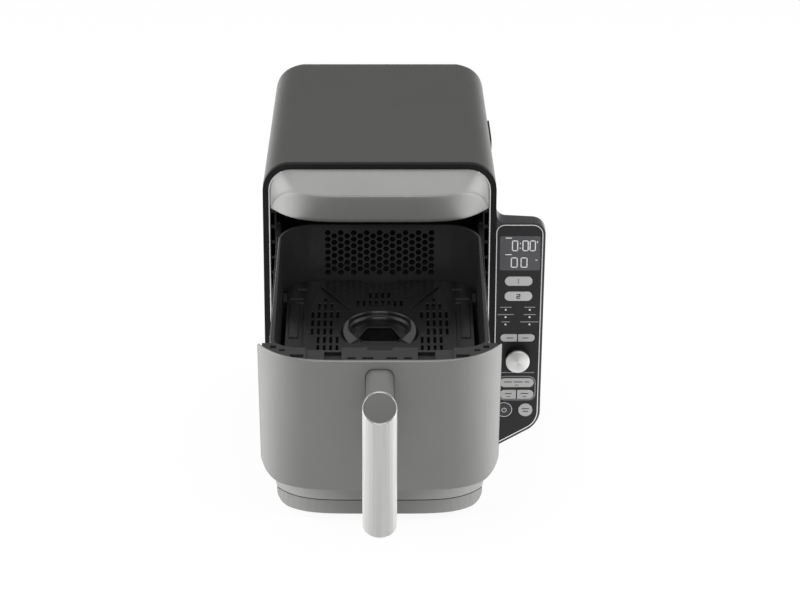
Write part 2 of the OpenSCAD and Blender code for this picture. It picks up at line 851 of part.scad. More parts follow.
module side_vent() {
  color("#222223")
    placed()
      translate([body_half_w - side_taper * vent_y0 + seat, vent_y0, 0])
        rotate([0, 0, atan(side_taper)])
          rotate([90, 0, 90])
            difference() {
              linear_extrude(vent_proud)
                polygon(outline(rect(0, vent_z0, vent_len, vent_z1, vent_r,
                  vent_r)));
              for (i = [0:vent_slots - 1])
                translate([vent_len / 2 + (i - (vent_slots - 1) / 2)
                  * vent_slot_pitch - vent_slot_w / 2,
                  vent_z0 + vent_frame_w, vent_slot_w])
                  cube([vent_slot_w, vent_z1 - vent_z0
                    - 2 * vent_frame_w, vent_proud]);
            }
}

// ---- ovens, heaters and fans --------------------------------------------------------

terminal_angle = 30;
terminal_r = 2.4;
terminal_x = heater_ring_r * cos(terminal_angle);
terminal_z = fan_z + heater_ring_r * sin(terminal_angle);
terminal_tail = 8;
probe_x = 78;
probe_drop = 34;
probe_z = fan_z - probe_drop;
probe_r = 2;
probe_reach = 14;
probe_tail = 6;
probe_collar_t = 4;
probe_collar_w = 2;

module oven(level) {
  on_level(level, 0)
    difference() {
      block([-oven_half_w - oven_t, oven_front_y, oven_floor_z - oven_t],
        [oven_half_w + oven_t, oven_back_y + oven_t, oven_top_z + oven_t]);
      block([-oven_half_w, oven_front_y - over, oven_floor_z],
        [oven_half_w, oven_back_y, oven_top_z]);
      rod_y(0, fan_z, oven_back_y - over, oven_back_y + oven_t + over, hub_r);
      for (side = [-1, 1])
        rod_y(side * terminal_x, terminal_z, oven_back_y - over,
          oven_back_y + oven_t + over, terminal_r + seat);
      rod_y(probe_x, probe_z, oven_back_y - over, oven_back_y + oven_t + over,
        probe_r + seat);
    }
}
module upper_oven() {
  color("#8f8f8d")
    oven(0);
}
module lower_oven() {
  color("#8f8f8d")
    oven(1);
}

module rail_pair(level) {
  z0 = runner_z - slide_gap - rail_lip_h;
  z1 = runner_top_z + slide_gap + rail_lip_h;
  lip_x = runner_half_w - rail_lip_w;
  web_x = oven_half_w - rail_t;
  y1 = oven_back_y - over;
  on_level(level, 0)
    both_sides()
      difference() {
        block([lip_x, rail_y, z0], [oven_half_w, y1, z1]);
        block([lip_x - over, rail_y - over, runner_z - slide_gap],
          [web_x, y1 + over, runner_top_z + slide_gap]);
      }
}
module drawer_rails() {
  color("#b5b5b3") {
    rail_pair(0);
    rail_pair(1);
  }
}

wool_side_gap = 6;
wool_front_gap = 50;
wool_back_gap = 60;
module insulation() {
  half_w = oven_half_w - wool_side_gap;
  color("#d8d2c0")
    for (level = [0, 1])
      on_level(level, 0)
        block([-half_w, oven_front_y + wool_front_gap, oven_top_z + oven_t + 0.2],
          [half_w, oven_back_y - wool_back_gap, oven_top_z + oven_t + wool_t]);
}

// Place and size of a drawer's switch and of its tongue
switch_x = 64;
switch_y = 8;
switch_size = [20, 6.5, 10];
tongue_size = [4, 3, 3];
tongue_place = [7, -2.5, 3];
module drawer_switches() {
  color("#3a3a3c")
    for (level = [0, 1])
      on_level(level, 0)
        translate([switch_x, oven_front_y + switch_y, oven_top_z + oven_t + 0.2]) {
          cube(switch_size);
          translate(tongue_place)
            cube(tongue_size);
        }
}

module temperature_probes() {
  color("#c4c4c2")
    for (level = [0, 1])
      on_level(level, 0) {
        rod_y(probe_x, probe_z, oven_back_y - probe_reach, motor_y + probe_tail,
          probe_r, small_fn);
        rod_y(probe_x, probe_z, motor_y, motor_y + probe_collar_t,
          probe_r + probe_collar_w, small_fn);
      }
}

guard_slot_rings = [18, 27, 36];
module fan_guard(level) {
  on_level(level, 0)
    difference() {
      front_plate(outline(rect(-guard_half_w, oven_floor_z + seat, guard_half_w,
        oven_top_z - seat, 4, 4)), guard_y, guard_y + guard_t);
      for (r = guard_slot_rings)
        for (i = [0:11])
          translate([0, guard_y - over, fan_z])
            rotate([0, i * 30, 0])
              block([-r * 0.16, 0, r], [r * 0.16, guard_t + 2 * over, r + 5]);
    }
}
module fan_guards() {
  color("#a3a3a1") {
    fan_guard(0);
    fan_guard(1);
  }
}

module heater(level) {
  on_level(level, 0) {
    for (r = [heater_ring_r, heater_inner_r])
      translate([0, heater_y, fan_z])
        rotate([90, 0, 0])
          rotate_extrude($fn = 64)
            translate([r, 0])
              circle(r = heater_r, $fn = 24);
    for (a = [90, 210, 330])
      translate([0, heater_y, fan_z])
        rotate([0, -a, 0])
          translate([heater_inner_r, 0, 0])
            rotate([0, 90, 0])
              cylinder(h = heater_ring_r - heater_inner_r, r = 2, $fn = 24);
    for (side = [-1, 1])
      rod_y(side * terminal_x, terminal_z, heater_y, motor_y + terminal_tail,
        terminal_r, small_fn);
  }
}
module upper_heater() {
  color("#4a4340")
    heater(0);
}
module lower_heater() {
  color("#4a4340")
    heater(1);
}

shaft_end = 2;
blade_angle = 24;
blade_gap = 5;
blade_margin = 12;
motor_cap_t = 3;
module fan(level) {
  disc_y = fan_y + fan_len - blade_t;
  on_level(level, 0) {
    rod_y(0, fan_z, disc_y, fan_y + fan_len, fan_r);
    rod_y(0, fan_z, fan_y + shaft_end, fan_y + fan_len, hub_r - 1);
    for (i = [0:fan_blades - 1])
      translate([0, 0, fan_z])
        rotate([0, i * 360 / fan_blades, 0])
          translate([0, fan_y, 0])
            rotate([0, blade_angle, 0])
              translate([-blade_t / 2, 0, hub_r + blade_gap])
                cube([blade_t, fan_len, fan_r - hub_r - blade_margin]);
    rod_y(0, fan_z, fan_y, motor_back_y - motor_cap_t - over, shaft_r);
  }
}
module upper_fan() {
  color("#b9b9b7")
    fan(0);
}
module lower_fan() {
  color("#b9b9b7")
    fan(1);
}

// A motor's mounting ears, its plug and the slots in its rear cap
ear_w = 8;
ear_t = 2.5;
plug_w = 9;
plug_h = 5;
motor_slots = 10;
module motor(level) {
  on_level(level, 0)
    difference() {
      union() {
        rod_y(0, fan_z, motor_y, motor_back_y, motor_r);
        block([-motor_r - ear_w, motor_y, fan_z - ear_w],
          [motor_r + ear_w, motor_y + ear_t, fan_z + ear_w]);
        block([-plug_w, motor_y + plug_h - 1, fan_z - motor_r - plug_h],
          [plug_w, motor_back_y - motor_cap_t, fan_z - motor_r + plug_h]);
      }
      rod_y(0, fan_z, motor_y - over, motor_back_y - motor_cap_t,
        shaft_r + shaft_gap);
      for (i = [0:motor_slots - 1])
        translate([0, motor_back_y - motor_cap_t / 2, fan_z])
          rotate([0, i * 360 / motor_slots, 0])
            block([-2, 0, motor_r * 0.42], [2, motor_cap_t, motor_r * 0.84]);
    }
}
module upper_motor() {
  color("#3c3c3e")
    motor(0);
}
module lower_motor() {
  color("#3c3c3e")
    motor(1);
}

// Parts on the power board: [x0, y0, x1, y1, height], capacitors: [x, y, radius, height]
transformer = [-55, 90, -15, 130, 32];
relay_one = [5, 90, 25, 108, 15];
relay_two = [32, 90, 52, 108, 15];
heat_sink = [-50, 170, -42, 235, 24];
terminals = [0, 205, 50, 222, 10];
capacitors = [[10, 160, 11, 26], [42, 160, 8, 20]];
module power_board() {
  z = board_z + board_t;
  color("#2d5a35")
    placed() {
      block([board_low[0], board_low[1], board_z], [board_high[0], board_high[1], z]);
      for (p = [transformer, relay_one, relay_two, heat_sink, terminals])
        block([p[0], p[1], z], [p[2], p[3], z + p[4]]);
      for (p = capacitors)
        rod_z(p[0], p[1], z, z + p[3], p[2], small_fn);
    }
}

// ---- control pod --------------------------------------------------------------------

pod_corners = [[pod_x, pod_root_z, 0.5], [pod_low_x, pod_low_z, pod_low_r],
  [pod_top_x, pod_top_z, pod_r], [pod_x, pod_top_z, 0.5]];
// Corners of the bright line, which runs along the very side of the body
pod_line_x = pod_x - pod_line_inset - 0.05;
pod_line_root_z = pod_root_z - (pod_x - pod_line_x) * pod_slant_h / (pod_low_x - pod_x);
line_corners = [[pod_line_x, pod_line_root_z, 0.5], pod_corners[1], pod_corners[2],
  [pod_line_x, pod_top_z, pod_line_r]];
// Depth of the pod at x
function pod_back(x) = pod_d - (pod_d - pod_side_d) * (x - pod_x) / pod_w;
// Buttons: [x, z, width, height, square side] of a pill, or of half a pill
half_pair = (pair_w - pair_gap) / 2;
pair_x = pair_gap / 2 + half_pair / 2;
zone_one = [mid_x, zone_one_z, zone_w, zone_h, 0];
zone_two = [mid_x, zone_two_z, zone_w, zone_h, 0];
temperature_pill = [mid_x - pair_x, split_z, half_pair, split_h, 1];
time_pill = [mid_x + pair_x, split_z, half_pair, split_h, -1];
wide_pill = [mid_x, wide_z, pair_w, wide_h, 0];
sync_pill = [mid_x - pair_x, lower_pair_z, half_pair, wide_h, 1];
match_pill = [mid_x + pair_x, lower_pair_z, half_pair, wide_h, -1];
power_pill = [mid_x - round_shift - round_span / 2, round_z, 2 * round_r, 2 * round_r, 0];
start_pill = [mid_x - round_shift + round_span / 2, round_z, 2 * round_r, 2 * round_r, 0];
pills = [zone_one, zone_two, temperature_pill, time_pill, wide_pill, sync_pill, match_pill,
  power_pill, start_pill];

// A pill-shaped plate, grown on every side
module pill(p, grow, y0, y1) {
  h = p[3] + 2 * grow;
  reach = (p[2] - p[3]) / 2;
  square = p[2] / 2 + grow;
  if (reach > 0.01) {
    for (side = [-1, 1])
      if (side != p[4])
        rod_y(p[0] + side * reach, p[1], y0, y1, h / 2, small_fn);
    block([p[0] - (p[4] == -1 ? square : reach), y0, p[1] - h / 2],
      [p[0] + (p[4] == 1 ? square : reach), y1, p[1] + h / 2]);
  } else {
    rod_y(p[0], p[1], y0, y1, h / 2, small_fn);
  }
}

module button(p) {
  placed() {
    pill(p, 0, -button_proud, panel_t + seat + 0.2);
    pill(p, 0.4, panel_t + seat, panel_t + seat + 1);
    rod_y(p[0], p[1], panel_t + seat + 0.8, stem_end_y - button_travel - 0.1, 2,
      small_fn);
  }
}

module zone_one_button() {
  color("#b0aeab")
    button(zone_one);
}
module zone_two_button() {
  color("#e6e5e3")
    button(zone_two);
}
module temperature_button() {
  color("#b0aeab")
    button(temperature_pill);
}
module time_button() {
  color("#b0aeab")
    button(time_pill);
}
module both_zones_button() {
  color("#b0aeab")
    button(wide_pill);
}
module sync_button() {
  color("#b0aeab")
    button(sync_pill);
}
module match_button() {
  color("#b0aeab")
    button(match_pill);
}
module power_button() {
  color("#303032")
    button(power_pill);
}
module start_button() {
  color("#b0aeab")
    button(start_pill);
}

// The pod's outline drawn in by inset, from y0 to its slanting back
module pod_solid(inset, y0) {
  intersection() {
    front_plate(outline(pod_corners, inset), y0, pod_d);
    plan_plate([[pod_x - over, y0], [pod_top_x + over, y0],
      [pod_top_x + over, pod_back(pod_top_x + over) - inset],
      [pod_x - over, pod_back(pod_x - over) - inset]], 0, body_h);
  }
}

module pod_shell() {
  color("#39393b")
    placed()
      difference() {
        pod_solid(0, 0);
        front_plate(outline(line_corners, pod_line_inset), -over, panel_t + 1);
        pod_solid(pod_wall, panel_t + 1 - 0.01);
      }
}

module pod_trim() {
  color("#c9c9c7")
    placed()
      difference() {
        front_plate(outline(line_corners, pod_line_inset + 0.05), -0.3, panel_t);
        front_plate(outline(line_corners, pod_line_inset + pod_line_w - 0.05),
          -over, panel_t + over);
      }
}

display_corners = rect(display_x - display_w / 2, display_z - display_h / 2,
  display_x + display_w / 2, display_z + display_h / 2, 2, 2);

module control_panel() {
  color("#242426")
    placed()
      difference() {
        front_plate(outline(line_corners, pod_line_inset + pod_line_w), 0, panel_t);
        front_plate(outline(display_corners, -0.15), -over, panel_t + over);
        for (p = pills)
          pill(p, button_gap, -over, panel_t + over);
        rod_y(mid_x, dial_z, -over, panel_t + over, 5);
      }
}

module display_window() {
  color("#55545a")
    placed()
      front_plate(outline(display_corners), 0.1, panel_t - 0.3);
}

module control_board() {
  inset = pod_wall + 2.4;
  x0 = pod_x + pod_wall;
  switch_w = 6;
  bar_inset = 2;
  post_x = 8;
  color("#2d5a35")
    placed() {
      difference() {
        front_plate(outline(pod_corners, inset), board_y, board_y + board_t);
        rod_y(mid_x, dial_z, board_y - over, board_y + board_t + over, 4);
      }
      // switches under the buttons
      for (p = pills)
        block([p[0] - switch_w / 2, stem_end_y, p[1] - switch_w / 2],
          [p[0] + switch_w / 2, board_y, p[1] + switch_w / 2]);
      // display module, reaching up to just behind the window
      block([display_x - display_w / 2 + bar_inset, panel_t + seat,
        display_z - display_h / 2 + bar_inset],
        [display_x + display_w / 2 - bar_inset, board_y,
        display_z + display_h / 2 - bar_inset]);
      // posts to the pod's back wall
      for (z = [wide_z, pod_top_z - display_drop])
        rod_y(x0 + post_x, z, board_y + board_t, pod_back(x0 + post_x + 3)
          - pod_wall - seat, 2.5, small_fn);
    }
}

knob_shaft_r = 3;
encoder_w = 13;
module dial_encoder() {
  color("#77787a")
    placed()
      difference() {
        block([mid_x - encoder_w / 2, panel_t + seat, dial_z - encoder_w / 2],
          [mid_x + encoder_w / 2, board_y - 0.1, dial_z + encoder_w / 2]);
        rod_y(mid_x, dial_z, -over, board_y + over, knob_shaft_r + shaft_gap);
      }
}

knob_grooves = 36;
module dial_knob() {
  color("#d4d4d2")
    placed() {
      difference() {
        union() {
          rod_y(mid_x, dial_z, -dial_reach, -1.6, dial_r - 0.4);
          rod_y(mid_x, dial_z, -dial_reach + 1, -1, dial_r);
        }
        for (i = [0:knob_grooves - 1])
          translate([mid_x, 0, dial_z])
            rotate([0, i * 360 / knob_grooves, 0])
              block([-0.3, -dial_reach + 3, dial_r - 0.4],
                [0.3, -2.5, dial_r + 1]);
      }
      rod_y(mid_x, dial_z, -2, board_y - 1, knob_shaft_r);
    }
}

// ---- drawers ------------------------------------------------------------------------

// Corners of a pan's wall seen from above: front, then rear
pan_corners = rect(-pan_half_w, pan_front_y, pan_half_w, pan_back_y, pan_front_r,
  pan_rear_r);
// The flange follows the pan, wider at its front corners
flange_front_w = pan_half_w + pan_flange_w;
flange_back_w = pan_half_w + 0.5;
flange_back_y = pan_back_y + 0.5;
flange_front_y = pan_front_y - 2.4;
flange_r = pan_front_r + 2.4;
flange_corners = [[-flange_front_w, flange_front_y, flange_r],
  [flange_front_w, flange_front_y, flange_r], [flange_back_w, flange_back_y, pan_rear_r],
  [-flange_back_w, flange_back_y, pan_rear_r]];
perf_half_w = 56;
perf_h = 50;
perf_drop = 30;
perf_mid_z = rim_z - perf_drop;

module pan_solid(inset, top_z) {
  hull() {
    plan_plate(outline(pan_corners, inset), rim_z - pan_straight_h, top_z);
    plan_plate(outline(pan_corners, inset + pan_draft), floor_z + pan_heel + inset,
      floor_z + pan_heel + inset + slice);
    plan_plate(outline(pan_corners, inset + pan_draft + pan_heel * 0.3),
      floor_z + pan_heel * 0.3 + inset, floor_z + pan_heel * 0.3 + inset + slice);
    plan_plate(outline(pan_corners, inset + pan_draft + pan_heel), floor_z + inset,
      floor_z + inset + slice);
  }
}

module pan(level, open) {
  rows = floor(perf_h / perf_pitch);
  columns = floor(2 * perf_half_w / perf_column);
  on_level(level, open)
    difference() {
      union() {
        pan_solid(0, rim_z);
        plan_plate(outline(flange_corners), rim_z - pan_flange_t, rim_z);
      }
      pan_solid(pan_wall, rim_z + over);
      for (i = [0:columns - 1])
        for (row = [0:rows - 1 - i % 2])
          translate([(i - (columns - 1) / 2) * perf_column, 0, perf_mid_z
            + (row - (rows - 1 - i % 2) / 2) * perf_pitch])
            rod_y(0, 0, pan_back_y - pan_wall - pan_draft, pan_back_y + over,
              (perf_pitch - perf_bridge) / sqrt(3), 6);
    }
}

module runners(level, open) {
  on_level(level, open)
    both_sides()
      block([pan_half_w, pan_front_y + pan_front_r, runner_z],
        [runner_half_w, runner_back_y, runner_top_z]);
}

module drawer_front(level, open) {
  slot = rect(-neck_w / 2, neck_low_z, neck_w / 2, neck_top_z, neck_r, neck_r);
  on_level(level, open)
    difference() {
      bulging_plate(rect(-front_half_w, front_z, front_half_w, front_top_z, front_r,
        2), front_half_w, front_t);
      front_plate(outline(slot, -0.5), -bulge - over, 0);
    }
}

// Plan of the space between a drawer's front and its pan
frame_limit = front_half_w - front_t - 2 * seat;
frame_plan = concat(front_curve(front_half_w, frame_limit, front_t + 2 * seat),
  [[frame_limit, front_t], [-frame_limit, front_t]]);
shelf_h = 9;
shelf_rise = rim_drop - 0.5;
web_edges = [52, 60];
socket_w = 6;
notch_half_w = 11.5;
notch_d = 6;
// Steps beside the middle of the shelf and slots in it, on both sides: [x0, x1, depth]
// and [x0, x1, y0, y1]
shelf_steps = [[35, 51, 8], [51, 68, 2.5]];
shelf_slots = [[6, 16, -31, -27], [22, 29.5, -31, -27], [70, 82.5, -27, -21],
  [87, 92.5, -14, -10], [95.5, 101, -8, -2]];

module inner_frame(level, open) {
  top_z = rim_z + shelf_rise;
  low_z = front_z + front_r;
  on_level(level, open)
    difference() {
      union() {
        plan_plate(frame_plan, top_z - shelf_h, top_z);
        plan_plate(frame_plan, low_z, low_z + shelf_h);
        intersection() {
          plan_plate(frame_plan, low_z, top_z);
          union() {
            both_sides()
              block([web_edges[0], -bulge, low_z],
                [web_edges[1], 0, top_z - shelf_h / 2]);
            block([-neck_w / 2 - socket_w, -bulge, neck_low_z - socket_w],
              [neck_w / 2 + socket_w, 0, top_z - shelf_h / 2]);
          }
        }
      }
      // room for the pan and its flange
      plan_plate(outline(flange_corners, -seat), low_z - over, top_z + over);
      // notch in the middle of the shelf, its steps and its slots
      block([-notch_half_w, flange_front_y - seat - notch_d, top_z - shelf_h / 2],
        [notch_half_w, 0, top_z + over]);
      both_sides() {
        for (p = shelf_steps)
          block([p[0], -bulge + 6, top_z - p[2]], [p[1] + 0.01, over + front_t,
            top_z + over]);
        for (p = shelf_slots)
          block([p[0], p[2], top_z - shelf_h / 2], [p[1], p[3], top_z + over]);
      }
    }
}

module handle_neck(level, open) {
  corners = rect(-neck_w / 2, neck_low_z, neck_w / 2, neck_top_z, neck_r, neck_r);
  on_level(level, open)
    difference() {
      front_plate(outline(corners), grip_y, neck_back_y);
      rod_z(0, grip_y, neck_low_z - over, neck_top_z + over, grip_r + 0.15);
      // the hollow that keeps the wall even
      block([-neck_w / 2 + 4, grip_y, neck_low_z + 5],
        [neck_w / 2 - 4, neck_back_y - 12, neck_low_z + 22]);
    }
}

// Everything above a plane tilted down towards the front through the tube's rear edge
module above_cut(z, tilt) {
  translate([0, grip_y + grip_r, z])
    rotate([tilt, 0, 0])
      translate([-grip_d, -3 * grip_d, 0])
        cube([2 * grip_d, 4 * grip_d, grip_len + 4 * grip_d]);
}

module handle_grip(level, open) {
  on_level(level, open)
    difference() {
      rod_z(0, grip_y, grip_low_z - grip_d, grip_top_z, grip_r);
      above_cut(grip_top_z, grip_top_tilt);
      difference() {
        rod_z(0, grip_y, grip_low_z - 2 * grip_d, grip_top_z, grip_r + over);
        above_cut(grip_low_z, grip_low_tilt);
      }
      difference() {
        rod_z(0, grip_y, grip_low_z - grip_d, grip_top_z + over, grip_bore_r);
        translate([0, 0, -grip_wall - grip_d])
          difference() {
            rod_z(0, grip_y, grip_low_z - grip_d, grip_low_z + 2 * grip_d,
              grip_r + over);
            above_cut(grip_low_z + grip_d + 2 * grip_wall, grip_low_tilt);
          }
      }
    }
}

module handle_cap(level, open) {
  on_level(level, open)
    difference() {
      intersection() {
        rod_z(0, grip_y, grip_top_z - 2 * grip_d, grip_top_z + grip_d,
          grip_bore_r - 0.15);
        above_cut(grip_top_z - cap_recess - cap_t, grip_top_tilt);
      }
      above_cut(grip_top_z - cap_recess, grip_top_tilt);
    }
}

plate_corners = rect(-plate_half_w, plate_mid_y - plate_len / 2, plate_half_w,
  plate_mid_y + plate_len / 2, plate_r, plate_r);

// One slot of a plate, its middle at x, y
module plate_slot(x, y, len) {
  block([x - slot_w / 2, y - len / 2, plate_z - over],
    [x + slot_w / 2, y + len / 2, plate_top_z + over]);
}

// Rows of a side block: [row, first column, columns more than slot_count]
slot_rows = [[3, 0, -1], [2, -1, 1], [1, 0, 0], [0, 0, 0], [-1, -1, 0], [-2, -1, 0],
  [-3, -1, 0], [-4, 0, -1]];
slot_shift = 3.4;
end_slots_gap = 30;
// Round holes behind the collar, from the middle of the plate
hole_r = 1.2;
holes = [[39.7, 111.5], [27.9, 111.5], [33.7, 104.4], [21.8, 104.4], [27.7, 95],
  [15.9, 94.4], [33.5, 89.2], [21.7, 89.2], [15.9, 83.8], [27.6, 82.6]];
// Raised field of a plate with its chamfered corners, from the middle of the plate
field_step = 1.2;
field = [[56, 118], [62, 99], [68, 62], [74.4, 50]];
// Raised strip at each side, and the ribs behind it: [x0, x1, y]
strip = [79, 88, -9, 67];
side_ribs = [[71.7, 82.7, 102.2], [74.9, 89, 79.8], [75, 84, 70]];
rib_t = 2;
diagonal_t = 4;
diagonal_h = 1.6;
diagonal_angle = 61.5;
diagonal_r = [60.5, 119];
rear_notch = [19.5, 13.5, 9.5];
cup_floor_t = 1.8;
cup_z = plate_top_z - cup_depth;
cup_r = collar_r - collar_w;
frame_rise = 1.2;
opening_r = 3;
mouth_angle = 49;
// The collar's top falls towards its open front, from this height at the mouth
collar_fall = 13.5;
mouth_h = 0.3;
// Opening of the cup, narrower towards the back
opening_corners = [[-opening_front_w / 2, -opening_len / 2, opening_r],
  [opening_front_w / 2, -opening_len / 2, opening_r],
  [opening_back_w / 2, opening_len / 2, opening_r],
  [-opening_back_w / 2, opening_len / 2, opening_r]];
// Section of the collar: a sloping outside, a round ridge and a lower step inside
collar_section = [[collar_r, 0], [collar_r - 2, collar_h * 0.5],
  [collar_r - 4, collar_h * 0.88], [collar_r - 5.2, collar_h], [collar_r - 6.6, collar_h],
  [collar_r - 7.4, collar_h * 0.85], [collar_r - 7.8, collar_h * 0.52],
  [cup_r + 1.2, collar_h * 0.46], [cup_r + 0.3, collar_h * 0.34]];

module at_plate_middle(z) {
  translate([0, plate_mid_y, z])
    children();
}

module plate_body() {
  reach = collar_r + over;
  full_field = concat([for (p = field) [p[0], -p[1]]], [for (p = reversed(field)) p]);
  plan_plate(outline(plate_corners), plate_z, plate_top_z - field_step);
  // skirt under the edge
  difference() {
    plan_plate(outline(plate_corners), plate_z - skirt_h, plate_z + over);
    plan_plate(outline(plate_corners, skirt_t), plate_z - skirt_h - over,
      plate_z + over);
  }
  at_plate_middle(0)
    plan_plate(concat(full_field, [for (p = reversed(full_field)) [-p[0], p[1]]]),
      plate_z, plate_top_z);
  at_plate_middle(cup_z - cup_floor_t)
    cylinder(h = cup_floor_t, r = collar_r - 1, $fn = round_fn);
  // collar, open towards the front
  difference() {
    at_plate_middle(plate_top_z - over)
      rotate_extrude($fn = round_fn)
        polygon(concat([[cup_r, 0], [collar_r, 0]],
          [for (p = collar_section) p + [0, over]]));
    at_plate_middle(plate_top_z)
      linear_extrude(collar_h + over)
        polygon([[0, 0], [-reach * tan(mouth_angle), -reach],
          [reach * tan(mouth_angle), -reach]]);
    translate([0, plate_mid_y - collar_r * cos(mouth_angle), plate_top_z + mouth_h])
      rotate([collar_fall, 0, 0])
        block([-reach, -reach, 0], [reach, 2 * reach, collar_h]);
  }
  both_sides()
    at_plate_middle(0) {
      block([strip[0], strip[2], plate_z], [strip[1], strip[3], plate_top_z]);
      for (p = side_ribs)
        block([p[0], p[2] - rib_t / 2, plate_z], [p[1], p[2] + rib_t / 2,
          plate_top_z]);
      // legs down to the pan's floor
      for (side = [-1, 1])
        rod_z(plate_half_w - leg_inset, side * (plate_len / 2 - leg_inset), leg_z,
          plate_z + field_step, leg_r, small_fn);
      // diagonal ribs from the corners towards the collar
      for (side = [-1, 1])
        rotate([0, 0, side * diagonal_angle])
          block([diagonal_r[0], -diagonal_t / 2, plate_z],
            [diagonal_r[1], diagonal_t / 2, plate_top_z + diagonal_h]);
    }
}

module crisper(level, open) {
  rear_y = plate_mid_y + plate_len / 2;
  on_level(level, open) {
    difference() {
      plate_body();
      // cup, its opening and the notch in the rear edge
      at_plate_middle(cup_z)
        cylinder(h = cup_depth + over, r = cup_r, $fn = round_fn);
      at_plate_middle(0)
        plan_plate(outline(opening_corners), plate_z - over - cup_floor_t,
          plate_top_z + over);
      plan_plate([[-rear_notch[0], rear_y + over],
        [-rear_notch[1], rear_y - rear_notch[2]],
        [rear_notch[1], rear_y - rear_notch[2]], [rear_notch[0], rear_y + over]],
        plate_z - skirt_h - over, plate_top_z + over);
      for (p = slot_rows)
        for (side = [-1, 1])
          for (i = [0:slot_count + p[2] - 1])
            plate_slot(side * (slot_start + (p[1] + i) * slot_pitch_x),
              plate_mid_y + slot_shift + p[0] * slot_pitch_y, slot_len);
      for (side = [-1, 1]) {
        plate_slot(side * (slot_start + slot_pitch_x), plate_mid_y + slot_shift
          + 3 * slot_pitch_y + slot_len / 2 + 9.5, slot_len / 2);
        for (p = holes)
          rod_z(side * p[0], plate_mid_y + p[1], plate_z - over,
            plate_top_z + over, hole_r, small_fn);
        // blocks of slots in front of the collar and behind it
        for (i = [-3.5:1:3.5])
          plate_slot(i * slot_pitch_x, plate_mid_y + side * (collar_r
            + end_slots_gap), slot_len);
        for (i = [-1.5:1:1.5])
          plate_slot(i * slot_pitch_x, plate_mid_y + side * (collar_r
            + end_slots_gap + slot_pitch_y), slot_len);
      }
    }
    // raised edge round the back and the sides of the opening
    difference() {
      at_plate_middle(0)
        plan_plate(outline(opening_corners, -1.5), cup_z - 0.5, cup_z + frame_rise);
      at_plate_middle(0)
        plan_plate(outline(opening_corners), cup_z - over, cup_z + over
          + frame_rise);
      translate([-collar_r, plate_mid_y - opening_len / 2 - 2 * over, cup_z])
        cube([2 * collar_r, 2 * over, frame_rise + over]);
    }
  }
}

// A bumper's thickness outside the plate's skirt, its drop below the plate's underside
// and the distance from a plate's end to its bumpers
bumper_t = 3.8;
bumper_drop = 6;
bumper_inset = 40;
module bumpers(level, open) {
  x0 = plate_half_w + 0.2;
  on_level(level, open)
    both_sides()
      for (end = [-1, 1])
        translate([0, plate_mid_y + end * (plate_len / 2 - bumper_inset), 0])
          block([x0, -bumper_len / 2, plate_z - bumper_drop],
            [x0 + bumper_t, bumper_len / 2, plate_z - bumper_drop + bumper_h]);
}

module upper_front() {
  color("#7b7b79")
    drawer_front(0, drawer_open);
}
module upper_inner_frame() {
  color("#262627")
    inner_frame(0, drawer_open);
}
module upper_pan() {
  color("#1c1c1c")
    pan(0, drawer_open);
}
module upper_runners() {
  color("#2a2a2b")
    runners(0, drawer_open);
}
module upper_neck() {
  color("#7b7b79")
    handle_neck(0, drawer_open);
}
module upper_grip() {
  color("#c4c4c2")
    handle_grip(0, drawer_open);
}
module upper_cap() {
  color("#737371")
    handle_cap(0, drawer_open);
}
module upper_plate() {
  color("#202021")
    crisper(0, drawer_open);
}
module upper_bumpers() {
  color("#2c2c2d")
    bumpers(0, drawer_open);
}
module lower_front() {
  color("#7b7b79")
    drawer_front(1, 0);
}
module lower_inner_frame() {
  color("#262627")
    inner_frame(1, 0);
}
module lower_pan() {
  color("#1c1c1c")
    pan(1, 0);
}
module lower_runners() {
  color("#2a2a2b")
    runners(1, 0);
}
module lower_neck() {
  color("#7b7b79")
    handle_neck(1, 0);
}
module lower_grip() {
  color("#c4c4c2")
    handle_grip(1, 0);
}
module lower_cap() {
  color("#737371")
    handle_cap(1, 0);
}
module lower_plate() {
  color("#202021")
    crisper(1, 0);
}
module lower_bumpers() {
  color("#2c2c2d")
    bumpers(1, 0);
}

outer_shell();
rear_cover();
base_tray();
feet();
base_front();
top_fascia();
front_bezel();
bezel_trim();
front_frame();
upper_oven();
lower_oven();
drawer_rails();
insulation();
fan_guards();
upper_heater();
lower_heater();
upper_motor();
lower_motor();
temperature_probes();
drawer_switches();
power_board();
pod_shell();
control_panel();
pod_trim();
display_window();
control_board();
dial_encoder();
side_vent();
cord_gland();
rear_screws();
upper_fan();
lower_fan();
dial_knob();
zone_one_button();
zone_two_button();
temperature_button();
time_button();
both_zones_button();
sync_button();
match_button();
power_button();
start_button();
upper_front();
upper_inner_frame();
upper_pan();
upper_runners();
upper_neck();
upper_grip();
upper_cap();
upper_plate();
upper_bumpers();
lower_front();
lower_inner_frame();
lower_pan();
lower_runners();
lower_neck();
lower_grip();
lower_cap();
lower_plate();
lower_bumpers();
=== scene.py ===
# %% [markdown]
# # An air fryer with two stacked drawers
# The CAD model gives every solid of this machine its true size and its joints. This lesson
# dresses it: smooth shells for the parts that people look at, real materials, and the small
# marks on the control pod. Each cell says what a piece is on the real machine, how it could
# be made, and why one way was chosen.

# %% Load the frame
import math

import bmesh
import bpy
from mathutils import Matrix, Vector


